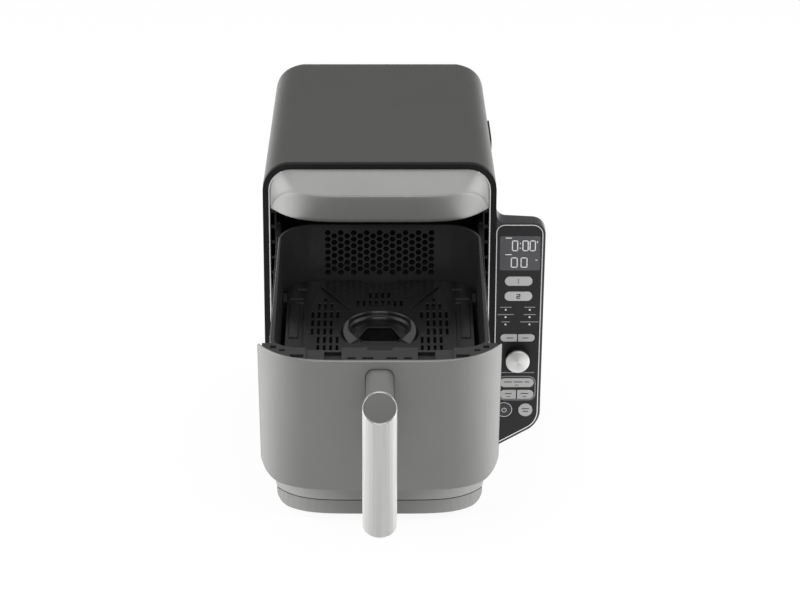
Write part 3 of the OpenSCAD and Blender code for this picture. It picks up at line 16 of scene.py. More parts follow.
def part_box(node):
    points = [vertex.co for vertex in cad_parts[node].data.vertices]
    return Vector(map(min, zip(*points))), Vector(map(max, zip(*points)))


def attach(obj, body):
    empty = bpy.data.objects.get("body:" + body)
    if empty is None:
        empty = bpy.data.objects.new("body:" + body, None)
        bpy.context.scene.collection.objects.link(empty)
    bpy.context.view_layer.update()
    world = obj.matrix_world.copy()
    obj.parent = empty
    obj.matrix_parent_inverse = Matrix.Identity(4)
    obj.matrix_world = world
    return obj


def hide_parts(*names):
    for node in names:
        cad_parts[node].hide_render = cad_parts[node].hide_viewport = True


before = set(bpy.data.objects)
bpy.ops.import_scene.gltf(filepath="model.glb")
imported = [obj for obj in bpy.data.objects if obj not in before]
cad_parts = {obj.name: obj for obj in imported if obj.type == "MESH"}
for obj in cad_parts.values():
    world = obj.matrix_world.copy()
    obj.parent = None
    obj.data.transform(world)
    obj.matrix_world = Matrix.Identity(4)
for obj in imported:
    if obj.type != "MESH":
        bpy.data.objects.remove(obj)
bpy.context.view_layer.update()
MM = 0.001

# %% [markdown]
# The machine is easiest to think of in its own terms: x = 0 in the middle of the body, y = 0
# at the face of the black rim, z = 0 on the table, in millimetres, with both drawers closed
# at the upper level. The frame's origin is elsewhere, so one offset joins the two. A drawer
# piece is drawn once and then shifted to its level, and the upper one is pulled out. The
# main sizes are measured on the CAD solids, so a new piece fits what it covers.


# %% Places and levels
def to_hundredths(*lengths):
    """Metres to millimetres, to a hundredth, so that float noise is left behind."""
    return [round(length / MM, 2) for length in lengths]


rim_low, rim_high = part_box("front_bezel")
shell_low, shell_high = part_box("outer_shell")
open_front, closed_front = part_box("upper_front")[0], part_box("lower_front")[0]
BODY_X, BODY_Y = to_hundredths(-(rim_low.x + rim_high.x) / 2, -rim_low.y)
BODY_HALF_W, BODY_DEPTH, BODY_HEIGHT = to_hundredths((rim_high.x - rim_low.x) / 2,
                                                     shell_high.y - rim_low.y, shell_high.z)
SHELL_LOW_Z, RIM_D = to_hundredths(shell_low.z, rim_high.y - rim_low.y)
DRAWER_OPEN, LEVEL_PITCH = to_hundredths(closed_front.y - open_front.y,
                                         open_front.z - closed_front.z)
LEVELS = {"upper": (-DRAWER_OPEN, 0.0), "lower": (0.0, -LEVEL_PITCH)}
FRONT_Z, BULGE = to_hundredths(open_front.z, rim_low.y - closed_front.y)
BULGE_POWER = 5.2
print("body, mm:", 2 * BODY_HALF_W, BODY_DEPTH, BODY_HEIGHT, "drawer opening:", DRAWER_OPEN)


def bulge_at(x, half_w):
    """How far the bulging fronts stand out at x, in millimetres."""
    return BULGE * (1.0 - min(abs(x) / half_w, 1.0) ** BULGE_POWER)


# %% [markdown]
# The camera comes first, because every later choice is judged through it. A long lens far
# away keeps the machine's sides nearly parallel, as a sales catalogue does. It looks down
# by 25 degrees, and a small shift puts the machine a little left of the middle.

# %% Camera
CAMERA_X, CAMERA_Y, CAMERA_Z = -0.6, -3048.3, 1656.4
CAMERA_DOWN = 25.0
lens_data = bpy.data.cameras.new("catalogue_camera")
lens_data.lens = 148.5
lens_data.sensor_width = 36.0
lens_data.shift_x = 0.0262
camera = bpy.data.objects.new("catalogue_camera", lens_data)
camera.location = ((CAMERA_X - BODY_X) * MM, (CAMERA_Y - BODY_Y) * MM, CAMERA_Z * MM)
camera.rotation_euler = (math.radians(90.0 - CAMERA_DOWN), 0.0, 0.0)
bpy.context.scene.collection.objects.link(camera)
bpy.context.scene.camera = camera
print("camera distance, m:", round(camera.location.length, 2))

# %% [markdown]
# Colours are written as hex values, the way a designer quotes them. Blender mixes light in
# linear values, so one function turns each hex value to linear. A second small function adds
# a shader node, sets its inputs and links it, which keeps each material short to read.


# %% Colour and node helpers
def linear(hex_value):
    """sRGB hex text to the linear RGBA that a shader socket wants."""
    channels = [int(hex_value[i:i + 2], 16) / 255.0 for i in (1, 3, 5)]
    return tuple(c / 12.92 if c <= 0.04045 else ((c + 0.055) / 1.055) ** 2.4
                 for c in channels) + (1.0,)


def add_node(owner, kind, inputs=None, **settings):
    """A new node in a material or the world; an input that is a socket becomes a link."""
    node = owner.node_tree.nodes.new(kind)
    for name, value in settings.items():
        setattr(node, name, value)
    for name, value in (inputs or {}).items():
        if isinstance(value, bpy.types.NodeSocket):
            owner.node_tree.links.new(value, node.inputs[name])
        else:
            node.inputs[name].default_value = value
    return node


print("mid grey #808080 in linear values:", round(linear("#808080")[0], 3))

# %% [markdown]
# Even a new, clean surface isn't one flat colour. Each finish therefore blends two close
# tints by a fine grain and a wide, faint cloud, and the same grain varies the gloss and the
# relief. All of it comes from object coordinates, so it has a real size in millimetres and
# moves with its piece. One function makes every finish, because only the numbers differ.


# %% A finish with mottle and grain
CLOUD_MM = 45.0
RELIEF_MM = 0.1
GLOSS_SPREAD = 0.12


def surface(name, colour, roughness, metallic=0.0, dark=None, grain_mm=1.0, bump=0.0,
            stretch=(1.0, 1.0, 1.0), mottle=0.5, specular=0.5, edge_mm=0.0):
    """A finish with a little colour mottle and surface grain of a real size.

    The grain and a wide cloud blend two close tints. The grain also varies the gloss and,
    where bump is given, the relief. An edge_mm rounds the light on knife-sharp edges.
    """
    material = bpy.data.materials.new(name)
    material.use_nodes = True
    material.node_tree.nodes.clear()
    place = add_node(material, "ShaderNodeTexCoord")
    scaled = add_node(material, "ShaderNodeMapping",
                      {"Vector": place.outputs["Object"], "Scale": stretch})
    grain = add_node(material, "ShaderNodeTexNoise",
                     {"Vector": scaled.outputs["Vector"], "Scale": 1.0 / (grain_mm * MM),
                      "Detail": 4.0})
    cloud = add_node(material, "ShaderNodeTexNoise",
                     {"Vector": scaled.outputs["Vector"], "Scale": 1.0 / (CLOUD_MM * MM),
                      "Detail": 2.0})
    blend = add_node(material, "ShaderNodeMath",
                     {0: grain.outputs["Fac"], 1: cloud.outputs["Fac"]}, operation="ADD")
    ramp = add_node(material, "ShaderNodeMapRange",
                    {"Value": blend.outputs["Value"], "From Min": 1.0 - mottle,
                     "From Max": 1.0 + mottle})
    tint = add_node(material, "ShaderNodeMix",
                    {0: ramp.outputs["Result"], 6: linear(dark or colour),
                     7: linear(colour)}, data_type="RGBA")
    gloss = add_node(material, "ShaderNodeMapRange",
                     {"Value": grain.outputs["Fac"], "To Min": roughness * (1.0 - GLOSS_SPREAD),
                      "To Max": min(roughness * (1.0 + GLOSS_SPREAD), 1.0)})
    inputs = {"Base Color": tint.outputs[2], "Roughness": gloss.outputs["Result"],
              "Metallic": metallic, "Specular IOR Level": specular}
    if bump > 0.0:
        relief_inputs = {"Height": grain.outputs["Fac"], "Strength": bump,
                         "Distance": RELIEF_MM * MM}
        if edge_mm > 0.0:
            rounded = add_node(material, "ShaderNodeBevel", {"Radius": edge_mm * MM},
                               samples=4)
            relief_inputs["Normal"] = rounded.outputs["Normal"]
        relief = add_node(material, "ShaderNodeBump", relief_inputs)
        inputs["Normal"] = relief.outputs["Normal"]
    shader = add_node(material, "ShaderNodeBsdfPrincipled", inputs)
    add_node(material, "ShaderNodeOutputMaterial", {"Surface": shader.outputs["BSDF"]})
    return material


print("deepest grain of a finish, mm:", RELIEF_MM)

# %% [markdown]
# Plastics first. The housing is moulded ABS with a fine satin texture, so it scatters light
# broadly. The rim is a smoother black ABS. The fronts are ABS under a metallic grey lacquer:
# the flakes in it act like a soft mirror, which is why the curved ends go pale where they
# face the side lights. A metallic value between plastic and metal gives that sheen. Real
# moulding texture and lacquer flakes are near 0.2 mm, too fine to see from here, so their
# grain is drawn 0.6 to 1.5 mm wide.

# %% Plastic and lacquer finishes
textured_abs = surface("textured_abs_dark_grey", "#474745", 0.5, dark="#424240",
                       grain_mm=0.8, bump=0.25, specular=0.35)
rim_abs = surface("satin_abs_black", "#1b1b1c", 0.5, dark="#181819", grain_mm=1.5,
                  specular=0.15)
frame_abs = surface("moulded_pbt_black", "#141415", 0.5, dark="#101011", grain_mm=1.0,
                    bump=0.2, specular=0.3)
inner_abs = surface("moulded_pbt_dark_grey", "#2a2a2b", 0.5, dark="#262627",
                    grain_mm=1.0, bump=0.2, specular=0.3, edge_mm=0.7)
front_lacquer = surface("metallic_lacquer_grey", "#868684", 0.38, 0.6, dark="#818180",
                        grain_mm=0.6, bump=0.05)
fascia_lacquer = surface("metallic_lacquer_pale", "#949492", 0.47, 0.5, dark="#8f8f8d",
                         grain_mm=0.6, bump=0.05)
plinth_lacquer = surface("metallic_lacquer_plinth", "#7f7f7d", 0.42, 0.5, dark="#7a7a78",
                         grain_mm=0.6, bump=0.05)
print("materials now, with the CAD colours:", len(bpy.data.materials))

# %% [markdown]
# The pod is satin ABS. Its panel is a film printed black from behind, the display's window a
# tinted film, and the keys are satin ABS in two greys, with one glossy black key. Rubber and
# silicone are matt and a little uneven. The handle cap has a satin lacquer, and the rear
# cover, the rails and the runners are plain matt black. Screen print and lamp windows are
# even, so their two tints are close. Inside are green circuit boards and pale mineral wool.

# %% Pod, key, rubber and print finishes
pod_abs = surface("satin_abs_charcoal", "#353537", 0.42, dark="#313133", grain_mm=1.2,
                  bump=0.1, specular=0.35)
panel_film = surface("printed_film_black", "#2b2a2b", 0.32, dark="#282728", grain_mm=2.0,
                     specular=0.22)
display_film = surface("tinted_window_film", "#535356", 0.25, dark="#4f4f52",
                       grain_mm=3.0, specular=0.4)
key_plastic = surface("satin_key_plastic", "#bbbbba", 0.4, dark="#b5b5b4", grain_mm=1.5)
key_white = surface("satin_key_plastic_white", "#c1c1c0", 0.35, dark="#bbbbba",
                    grain_mm=1.5)
key_dark = surface("gloss_key_plastic_black", "#2f2d2f", 0.3, grain_mm=1.5)
cap_lacquer = surface("satin_cap_lacquer", "#666664", 0.55, 0.25, dark="#626260",
                      grain_mm=0.7, bump=0.05)
plain_black = surface("matt_abs_black", "#1f1f20", 0.55, dark="#1a1a1b", grain_mm=1.0,
                      bump=0.2, specular=0.3)
silicone = surface("moulded_silicone_black", "#18181a", 0.65, dark="#141416",
                   grain_mm=0.9, bump=0.15, specular=0.3)
foot_rubber = surface("foot_rubber_black", "#1a1a1a", 0.75, dark="#161616", grain_mm=0.8,
                      bump=0.4, specular=0.3)
board_mask = surface("solder_mask_green", "#2d5a35", 0.35, dark="#28502f", grain_mm=4.0)
wool = surface("mineral_wool", "#d8d2c0", 0.95, dark="#c2b99f", grain_mm=1.2, bump=1.0)
print_white = surface("screen_print_white", "#e8e8ea", 0.5, dark="#dedee0", grain_mm=1.0)
print_grey = surface("screen_print_grey", "#8c8a8e", 0.5, dark="#858387", grain_mm=1.0)
print_dark = surface("screen_print_charcoal", "#3c3a3c", 0.5, dark="#363436",
                     grain_mm=1.0)
lamp_plastic = surface("lamp_diffuser_milky", "#f2f2f6", 0.4, dark="#eaeaee",
                       grain_mm=1.0)
print("materials now, with the CAD colours:", len(bpy.data.materials))

# %% [markdown]
# Metals next. Bright trim is polished and stays a plain mirror with a low roughness. The
# handle's tube is anodised aluminium brushed along its length, so its grain is stretched
# many times along z. The pan and the plate carry a non-stick coating: nearly black, with a
# fine orange peel that breaks up its highlights. The heaters are steel that has turned
# brown with heat, and the ovens are aluminised sheet with a fine spangle.

# %% Metal and coating finishes
bright_trim = surface("polished_trim", "#eeeeec", 0.28, 0.85, grain_mm=3.0)
anodised = surface("anodised_aluminium_brushed", "#cbcbc9", 0.5, 0.3, dark="#aeaeac",
                   grain_mm=2.2, stretch=(1.0, 1.0, 0.01), bump=0.1, mottle=0.3)
lip_polish = surface("polished_aluminium_lip", "#bcbcba", 0.24, 0.95, grain_mm=2.0)
sheet_steel = surface("aluminised_sheet", "#7b7b79", 0.42, 0.9, dark="#71716f",
                      grain_mm=0.7, bump=0.1)
plated_steel = surface("zinc_plated_steel", "#b0b0ac", 0.35, 0.9, dark="#a2a29f",
                       grain_mm=1.0)
heater_steel = surface("heat_darkened_steel", "#4b4441", 0.5, 0.8, dark="#3a3634",
                       grain_mm=2.0)
fan_metal = surface("cast_aluminium", "#b9b9b7", 0.4, 0.9, dark="#acacaa", grain_mm=0.8,
                    bump=0.2)
motor_steel = surface("painted_motor_steel", "#3c3c3e", 0.5, 0.3, grain_mm=1.0, bump=0.2)
pan_coating = surface("non_stick_coating", "#2e2e2e", 0.28, dark="#282828", grain_mm=0.7,
                      bump=0.3, specular=0.3)
plate_coating = surface("non_stick_coating_plate", "#171717", 0.22, dark="#131313",
                        grain_mm=0.7, bump=0.1, specular=0.35, edge_mm=1.0)
print("materials now, with the CAD colours:", len(bpy.data.materials))

# %% [markdown]
# Every new piece is shaped with mesh operators in a bmesh and then handed to one function.
# It merges doubles, turns the faces outwards, marks real creases as sharp, tells the frame
# which body the piece rides on, and hides the CAD node it stands for. The object stays at
# the origin and its place is in its mesh.


# %% Finish a piece
CREASE = math.radians(32.0)
MERGE = 0.01 * MM


def finish_piece(name, bm, material, body, replaces=(), recalc=True,
                 crease=CREASE):
    """Makes a bmesh, drawn in metres from the body's own zero, a piece of the model."""
    bmesh.ops.remove_doubles(bm, verts=bm.verts, dist=MERGE)
    if recalc:
        bmesh.ops.recalc_face_normals(bm, faces=bm.faces)
    bmesh.ops.translate(bm, verts=bm.verts, vec=(-BODY_X * MM, -BODY_Y * MM, 0.0))
    for face in bm.faces:
        face.smooth = True
    for edge in bm.edges:
        edge.smooth = len(edge.link_faces) == 2 and edge.calc_face_angle() < crease
    mesh = bpy.data.meshes.new(name)
    bm.to_mesh(mesh)
    bm.free()
    piece = bpy.data.objects.new(name, mesh)
    mesh.materials.append(material)
    bpy.context.scene.collection.objects.link(piece)
    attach(piece, body)
    if replaces:
        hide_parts(*replaces)
    print(f"{name}: {len(mesh.polygons)} faces on {body}")
    return piece


print("an edge is sharp from, degrees:", round(math.degrees(CREASE)))

# %% [markdown]
# Most shells of this machine are soft boxes, and two steps draw them all. A vertex bevel
# rounds the corners of a flat polygon, each with its own radius. Then a loop of points is
# extruded edge by edge from one outline to the next, and every new vertex goes to its place
# on the next outline, so the skin is even and stays in one piece.


# %% Outlines and the skins between them
def outline(corners, segments=8):
    """(x, z) points of a polygon whose corners (x, z, radius) a vertex bevel rounds."""
    bm = bmesh.new()
    verts = [bm.verts.new((x, z, 0.0)) for x, z, _ in corners]
    bm.faces.new(verts)
    count = len(corners)
    for i, (x, z, radius) in enumerate(corners):
        if radius <= 0.0:
            continue
        here = Vector((x, z))
        before = (Vector(corners[i - 1][:2]) - here).normalized()
        after = (Vector(corners[(i + 1) % count][:2]) - here).normalized()
        reach = radius / math.tan(before.angle(after) / 2.0)
        bmesh.ops.bevel(bm, geom=[verts[i]], offset=reach, offset_type="OFFSET",
                        segments=segments, profile=0.5, affect="VERTICES",
                        clamp_overlap=False, material=-1)
    bm.faces.ensure_lookup_table()
    points = [(loop.vert.co.x, loop.vert.co.y) for loop in bm.faces[0].loops]
    bm.free()
    return points


def box_corners(x0, z0, x1, z1, low_r, high_r):
    """The corners of a box for outline(), with one radius below and one above."""
    return [(x0, z0, low_r), (x1, z0, low_r), (x1, z1, high_r), (x0, z1, high_r)]


def loft(loops, cap_start=True, cap_end=True):
    """A skin through loops of equally many (x, y, z) points, each grown from the last."""
    bm = bmesh.new()
    ring = [bm.verts.new((x * MM, y * MM, z * MM)) for x, y, z in loops[0]]
    edges = [bm.edges.new((ring[i - 1], ring[i])) for i in range(len(ring))]
    first = edges
    for points in loops[1:]:
        place = {vert: point for vert, point in zip(ring, points)}
        grown = bmesh.ops.extrude_edge_only(bm, edges=edges)["geom"]
        fresh = {v for v in grown if isinstance(v, bmesh.types.BMVert)}
        partner = {e.other_vert(v): v for v in fresh for e in v.link_edges
                   if e.other_vert(v) in place}
        for vert, (x, y, z) in place.items():
            partner[vert].co = (x * MM, y * MM, z * MM)
        ring = [partner[vert] for vert in ring]
        edges = [e for v in fresh for e in v.link_edges if e.other_vert(v) in fresh]
        edges = list(dict.fromkeys(edges))
    for wanted, rim in ((cap_start, first), (cap_end, edges)):
        if wanted:
            bmesh.ops.contextual_create(bm, geom=rim)
    return bm


print("points round a soft box:", len(outline(box_corners(0.0, 0.0, 20.0, 10.0, 2.0, 2.0))))

# %% [markdown]
# Holes in curved shells are cut the way a drill does: a closed tool goes through, and an
# exact boolean takes away what it covers. The boolean runs on two short-lived objects, and
# only the carved mesh comes back. The usual tool is a bar with rounded corners.


# %% Carve with a cutter
def carve(bm, cutter):
    """bm less the closed solids of cutter, by an exact boolean."""
    pieces = []
    for source in (bm, cutter):
        bmesh.ops.recalc_face_normals(source, faces=source.faces)
        mesh = bpy.data.meshes.new("carving")
        source.to_mesh(mesh)
        source.free()
        thing = bpy.data.objects.new("carving", mesh)
        bpy.context.scene.collection.objects.link(thing)
        pieces.append(thing)
    kept, knife = pieces
    modifier = kept.modifiers.new("carve", "BOOLEAN")
    modifier.operation = "DIFFERENCE"
    modifier.solver = "EXACT"
    modifier.object = knife
    bpy.context.view_layer.update()
    carved = bmesh.new()
    carved.from_object(kept, bpy.context.evaluated_depsgraph_get())
    for thing in pieces:
        mesh = thing.data
        bpy.data.objects.remove(thing)
        bpy.data.meshes.remove(mesh)
    return carved


def slab_cutter(x, y, z, w, d, h, r=0.0, axis="Z", segments=4):
    """A bar of w by d with rounded corners, h long on its axis, centred on x, y, z."""
    points = outline(box_corners(-w / 2, -d / 2, w / 2, d / 2, r, r), segments)
    if axis == "Z":
        return loft([[(x + a, y + b, z + s * h / 2) for a, b in points] for s in (-1, 1)])
    return loft([[(x + a, y + s * h / 2, z + b) for a, b in points] for s in (-1, 1)])


trial = slab_cutter(0.0, 0.0, 0.0, 10.0, 6.0, 4.0, r=1.0)
print("faces of a small cutter:", len(trial.faces))
trial.free()

# %% [markdown]
# CAD solids that already have the right shape stay. Their edges are knife sharp, which no
# moulded or pressed part is, so a weld and a narrow bevel are laid on as modifiers, and the
# finish goes into the material slot. The CAD mesh itself isn't touched.


# %% Dress the CAD solids that stay
BEVEL_FROM = math.radians(40.0)


def dress(node, material, bevel=0.0):
    """Puts the finish on a CAD solid, and a weld and a bevel (mm) over its edges."""
    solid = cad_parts[node]
    solid.data.materials.clear()
    solid.data.materials.append(material)
    if bevel > 0.0:
        weld = solid.modifiers.new("weld", "WELD")
        weld.merge_threshold = MERGE
        rounding = solid.modifiers.new("rounding", "BEVEL")
        rounding.width = bevel * MM
        rounding.segments = 2
        rounding.limit_method = "ANGLE"
        rounding.angle_limit = BEVEL_FROM
        rounding.harden_normals = False


kept_solids = {
    "rear_cover": (plain_black, 0.3), "base_tray": (plinth_lacquer, 0.5),
    "feet": (foot_rubber, 0.8), "front_bezel": (rim_abs, 0.4),
    "bezel_trim": (bright_trim, 0.2), "front_frame": (frame_abs, 0.3),
    "upper_oven": (sheet_steel, 0.0), "lower_oven": (sheet_steel, 0.0),
    "drawer_rails": (plain_black, 0.0), "insulation": (wool, 0.0),
    "fan_guards": (sheet_steel, 0.0), "upper_heater": (heater_steel, 0.0),
    "lower_heater": (heater_steel, 0.0), "upper_motor": (motor_steel, 0.5),
    "lower_motor": (motor_steel, 0.5), "temperature_probes": (plated_steel, 0.0),
    "drawer_switches": (plain_black, 0.3), "power_board": (board_mask, 0.0),
    "control_panel": (panel_film, 0.0), "pod_trim": (bright_trim, 0.1),
    "display_window": (display_film, 0.0), "control_board": (board_mask, 0.0),
    "dial_encoder": (motor_steel, 0.3), "side_vent": (rim_abs, 1.6),
    "cord_gland": (foot_rubber, 0.4), "rear_screws": (plated_steel, 0.2),
    "upper_fan": (fan_metal, 0.0), "lower_fan": (fan_metal, 0.0),
    "zone_one_button": (key_plastic, 0.35), "zone_two_button": (key_white, 0.35),
    "temperature_button": (key_plastic, 0.35), "time_button": (key_plastic, 0.35),
    "both_zones_button": (key_plastic, 0.35), "sync_button": (key_plastic, 0.35),
    "match_button": (key_plastic, 0.35), "power_button": (key_dark, 0.35),
    "start_button": (key_plastic, 0.35),
}
for level in LEVELS:
    kept_solids[f"{level}_inner_frame"] = (inner_abs, 0.4)
    kept_solids[f"{level}_runners"] = (plain_black, 0.4)
    kept_solids[f"{level}_plate"] = (plate_coating, 0.5)
    kept_solids[f"{level}_bumpers"] = (silicone, 0.5)
for node, (material, bevel) in kept_solids.items():
    dress(node, material, bevel)
print("CAD solids dressed:", len(kept_solids))

# %% [markdown]
# The housing is one deep moulding. Its front outline is a tall rounded rectangle; towards
# the back it narrows a little and then rolls over into the rear wall. It could be carved from
# a block, but a skin bridged over outlines at chosen depths follows the real tool's surface
# and keeps its highlights smooth. First come the outlines, as a function of the depth.


# %% Housing outlines
SIDE_TAPER = 0.024
SHELL_WALL = 2.4
TOP_R, LOW_R, REAR_TOP_R, REAR_SIDE_R = 28.0, 22.0, 75.0, 26.0
REAR_HALF_W, REAR_Z0, REAR_Z1, REAR_R = 81.24, 46.0, 306.0, 6.0
CROWN_D, CROWN_LOW_Z, CROWN_H = 9.0, 250.0, 60.0
CROWN_HALF_W, CROWN_MOST_X, CROWN_START = 86.0, 90.0, 20.0


def crown(x, z):
    """How much earlier the roll at the back starts towards the sides, high up."""
    high = min(max((z - CROWN_LOW_Z) / CROWN_H, 0.0), 1.0)
    return CROWN_D * (min(abs(x), CROWN_MOST_X) / CROWN_HALF_W) ** 3 * high


def rolled(past, radius):
    """How far a round of this radius has drawn in, this far past its start."""
    return radius - math.sqrt(max(radius ** 2 - max(past, 0.0) ** 2, 0.0))


def shell_points(y, inset=0.0):
    """The housing's outline at a depth, drawn in by inset for the inside of its wall."""
    half_w = BODY_HALF_W - SIDE_TAPER * y - rolled(y - (BODY_DEPTH - REAR_SIDE_R), REAR_SIDE_R)
    past_top = max(y - (BODY_DEPTH - REAR_TOP_R), 0.0)
    top = BODY_HEIGHT - rolled(past_top, REAR_TOP_R)
    wall_y = y - inset if past_top > 0.0 else y
    ease = min(past_top / CROWN_START, 1.0)
    corners = box_corners(inset - half_w, SHELL_LOW_Z + inset, half_w - inset, top - inset,
                          LOW_R - inset, TOP_R - inset)
    return [(x, wall_y - crown(x, z) * ease, z) for x, z in outline(corners, 10)]


def rear_edge(y):
    """The edge of the rear opening, which the rear cover closes."""
    corners = box_corners(-REAR_HALF_W, REAR_Z0, REAR_HALF_W, REAR_Z1, REAR_R, REAR_R)
    return [(x, y, z) for x, z in outline(corners, 10)]


print("points in the housing's outline:", len(shell_points(0.0)))

# %% [markdown]
# The skin runs over the outside to the rear opening, round its edge, and back to the front
# over the same outlines drawn in by the wall, so the wall is even. The depths lie closer
# together where the top rolls over. Last, the underside is opened for the tray.

# %% Housing shell
ROLL_STEPS, RIM_GAP, REAR_GAP = 14, 0.3, 0.05
TRAY_HOLE_Y, TRAY_HOLE_W, TRAY_HOLE_D, TRAY_HOLE_H = 164.0, 174.0, 340.0, 12.0
shell_depths = [RIM_D + RIM_GAP, 120.0, 230.0]
shell_depths += [BODY_DEPTH - REAR_TOP_R * (1.0 - math.sin(math.pi / 2 * i / ROLL_STEPS))
                 for i in range(ROLL_STEPS)]
shell_depths += [BODY_DEPTH - REAR_GAP]
outside = [shell_points(y) for y in shell_depths]
inside = [shell_points(y, SHELL_WALL) for y in reversed(shell_depths)]
shell = loft(outside + [rear_edge(BODY_DEPTH), rear_edge(BODY_DEPTH - SHELL_WALL)]
             + inside + [outside[0]], False, False)
bmesh.ops.remove_doubles(shell, verts=shell.verts, dist=MERGE)
shell = carve(shell, slab_cutter(0.0, TRAY_HOLE_Y, SHELL_LOW_Z, TRAY_HOLE_W, TRAY_HOLE_D,
                                 TRAY_HOLE_H))
finish_piece("housing_shell", shell, textured_abs, "housing",
             ["outer_shell"])

# %% [markdown]
# The fascia closes the front above the drawers. Its lower part is a plain bulging band; a
# crisp ridge runs across it and sinks at its ends, and above the ridge a broad shoulder
# leads back to the trim. One function gives the point for a place across and up. The rows
# are shared out over the lip, the band, the ridge and the shoulder.

# %% Fascia surface
FASCIA_HALF_W = 110.0
FASCIA_Z, FASCIA_TOP_Z = 337.0, 378.5
FASCIA_CORNER_R = 21.0
LIP_END, BAND_END, RIDGE_END = 0.12, 0.5, 0.68
LIP_D, LIP_H = 5.0, 0.6
RIDGE_Z, RIDGE_LEAST_Z, RIDGE_RISE, RIDGE_FALL_POWER = 338.0, 340.0, 29.4, 11
RIDGE_D, RIDGE_H, RIDGE_TURN = 3.0, 2.2, math.radians(72.0)
SHOULDER_Y, SHOULDER_RISE, SHOULDER_SLOPE = -0.8, 0.9, 0.75
END_POWER, RISE_POWER = 6, 12


def fascia_top(x):
    """The height of the trim's inner edge over the fascia."""
    past = max(abs(x) - (FASCIA_HALF_W - FASCIA_CORNER_R), 0.0)
    return FASCIA_TOP_Z - FASCIA_CORNER_R + math.sqrt(FASCIA_CORNER_R ** 2 - past ** 2)


def fascia_point(s, t):
    """s runs -1..1 across the front, t runs 0..1 from the lower lip to the rim."""
    x = FASCIA_HALF_W * math.sin(math.pi / 2 * s)
    share = min(abs(x) / FASCIA_HALF_W, 1.0)
    y_front = -bulge_at(x, FASCIA_HALF_W)
    ridge = max(RIDGE_Z + RIDGE_RISE * (1.0 - share ** RIDGE_FALL_POWER), RIDGE_LEAST_Z)
    band_z, band_top_z = FASCIA_Z + LIP_H, ridge - RIDGE_H
    if t < LIP_END:
        k = t / LIP_END
        return x, y_front + LIP_D * (1.0 - k), FASCIA_Z + LIP_H * k
    if t < BAND_END:
        k = (t - LIP_END) / (BAND_END - LIP_END)
        return x, y_front, band_z + (band_top_z - band_z) * k
    turn = RIDGE_TURN * min((t - BAND_END) / (RIDGE_END - BAND_END), 1.0)
    y0 = y_front + RIDGE_D * (1.0 - math.cos(turn))
    z0 = band_top_z + RIDGE_H * math.sin(turn)
    if t < RIDGE_END:
        return x, y0, z0
    k = (t - RIDGE_END) / (1.0 - RIDGE_END)
    round_end = share ** END_POWER
    y0 = min(y0, SHOULDER_Y)
    z1 = fascia_top(x) + SHOULDER_RISE * (1.0 - share ** RISE_POWER)
    along = (1.0 - round_end) * k + round_end * (1.0 - math.cos(math.pi / 2 * k))
    rise = ((1.0 - round_end) * (SHOULDER_SLOPE * k + (1.0 - SHOULDER_SLOPE) * k * k)
            + round_end * math.sin(math.pi / 2 * k))
    return x, y0 + (SHOULDER_Y - y0) * along, z0 + (z1 - z0) * rise


print("fascia's height, mm:", round(fascia_point(0.0, 1.0)[2] - FASCIA_Z, 1))

# %% [markdown]
# A grid is the right start for the fascia, because each of its columns is one upright
# profile and each row one long curve across the front. Its vertices move to their places,
# and a few rounds of smoothing relax the shoulder, so its ends flow into the ridge.
# Solidify then gives the skin the thickness of its moulding.

# %% Top fascia
COLUMNS, PROFILE = 96, 22
RELAX_FROM, RELAX_ROUNDS = 0.72, 14
FASCIA_WALL, BAND_MIDDLE_Z = 2.0, 350.0
FASCIA_CREASE = math.radians(50.0)
fascia = bmesh.new()
bmesh.ops.create_grid(fascia, x_segments=COLUMNS, y_segments=PROFILE, size=1.0)
rows = [(vert.co.y + 1.0) / 2.0 for vert in fascia.verts]
for vert, t in zip(fascia.verts, rows):
    x, y, z = fascia_point(vert.co.x, t)
    vert.co = (x * MM, y * MM, z * MM)
bmesh.ops.recalc_face_normals(fascia, faces=fascia.faces)
relaxed = [v for v, t in zip(fascia.verts, rows) if t > RELAX_FROM and not v.is_boundary]
for _ in range(RELAX_ROUNDS):
    bmesh.ops.smooth_vert(fascia, verts=relaxed, factor=0.5, use_axis_x=True,
                          use_axis_y=True, use_axis_z=True)
band_middle = Vector((0.0, -BULGE * MM, BAND_MIDDLE_Z * MM))
middle_face = min(fascia.faces,
                  key=lambda face: (face.calc_center_median() - band_middle).length)
if middle_face.normal.y > 0.0:
    bmesh.ops.reverse_faces(fascia, faces=fascia.faces)
bmesh.ops.solidify(fascia, geom=fascia.faces[:], thickness=FASCIA_WALL * MM)
finish_piece("fascia_shell", fascia, fascia_lacquer, "housing",
             ["top_fascia"], recalc=False, crease=FASCIA_CREASE)

# %% [markdown]
# A drawer's front, and the fixed front under the drawers, are flat plates with rounded
# corners and edges that are then bent into the shared bulge. Bending last is what a press
# does too, and it keeps the rounded edge the same width all the way round. The plate needs
# many upright cuts first, or it would bend in a few coarse facets.


# %% Flat slabs, soft edges and the bend
FRONT_HALF_W, FRONT_EDGE_X, FRONT_BACK_Y = 112.3, 112.0, -0.8
BEND_STEPS = 44
SHARP_ANGLE = 0.7


def to_level(bm, level):
    """Moves a drawer's piece from the closed upper place to its own level and opening."""
    forward, down = LEVELS[level]
    bmesh.ops.translate(bm, verts=bm.verts, vec=(0.0, forward * MM, down * MM))


def front_slab(points, y0, y1):
    """An (x, z) outline made a slab from y0 to y1."""
    return loft([[(x, y, z) for x, z in points] for y in (y0, y1)])


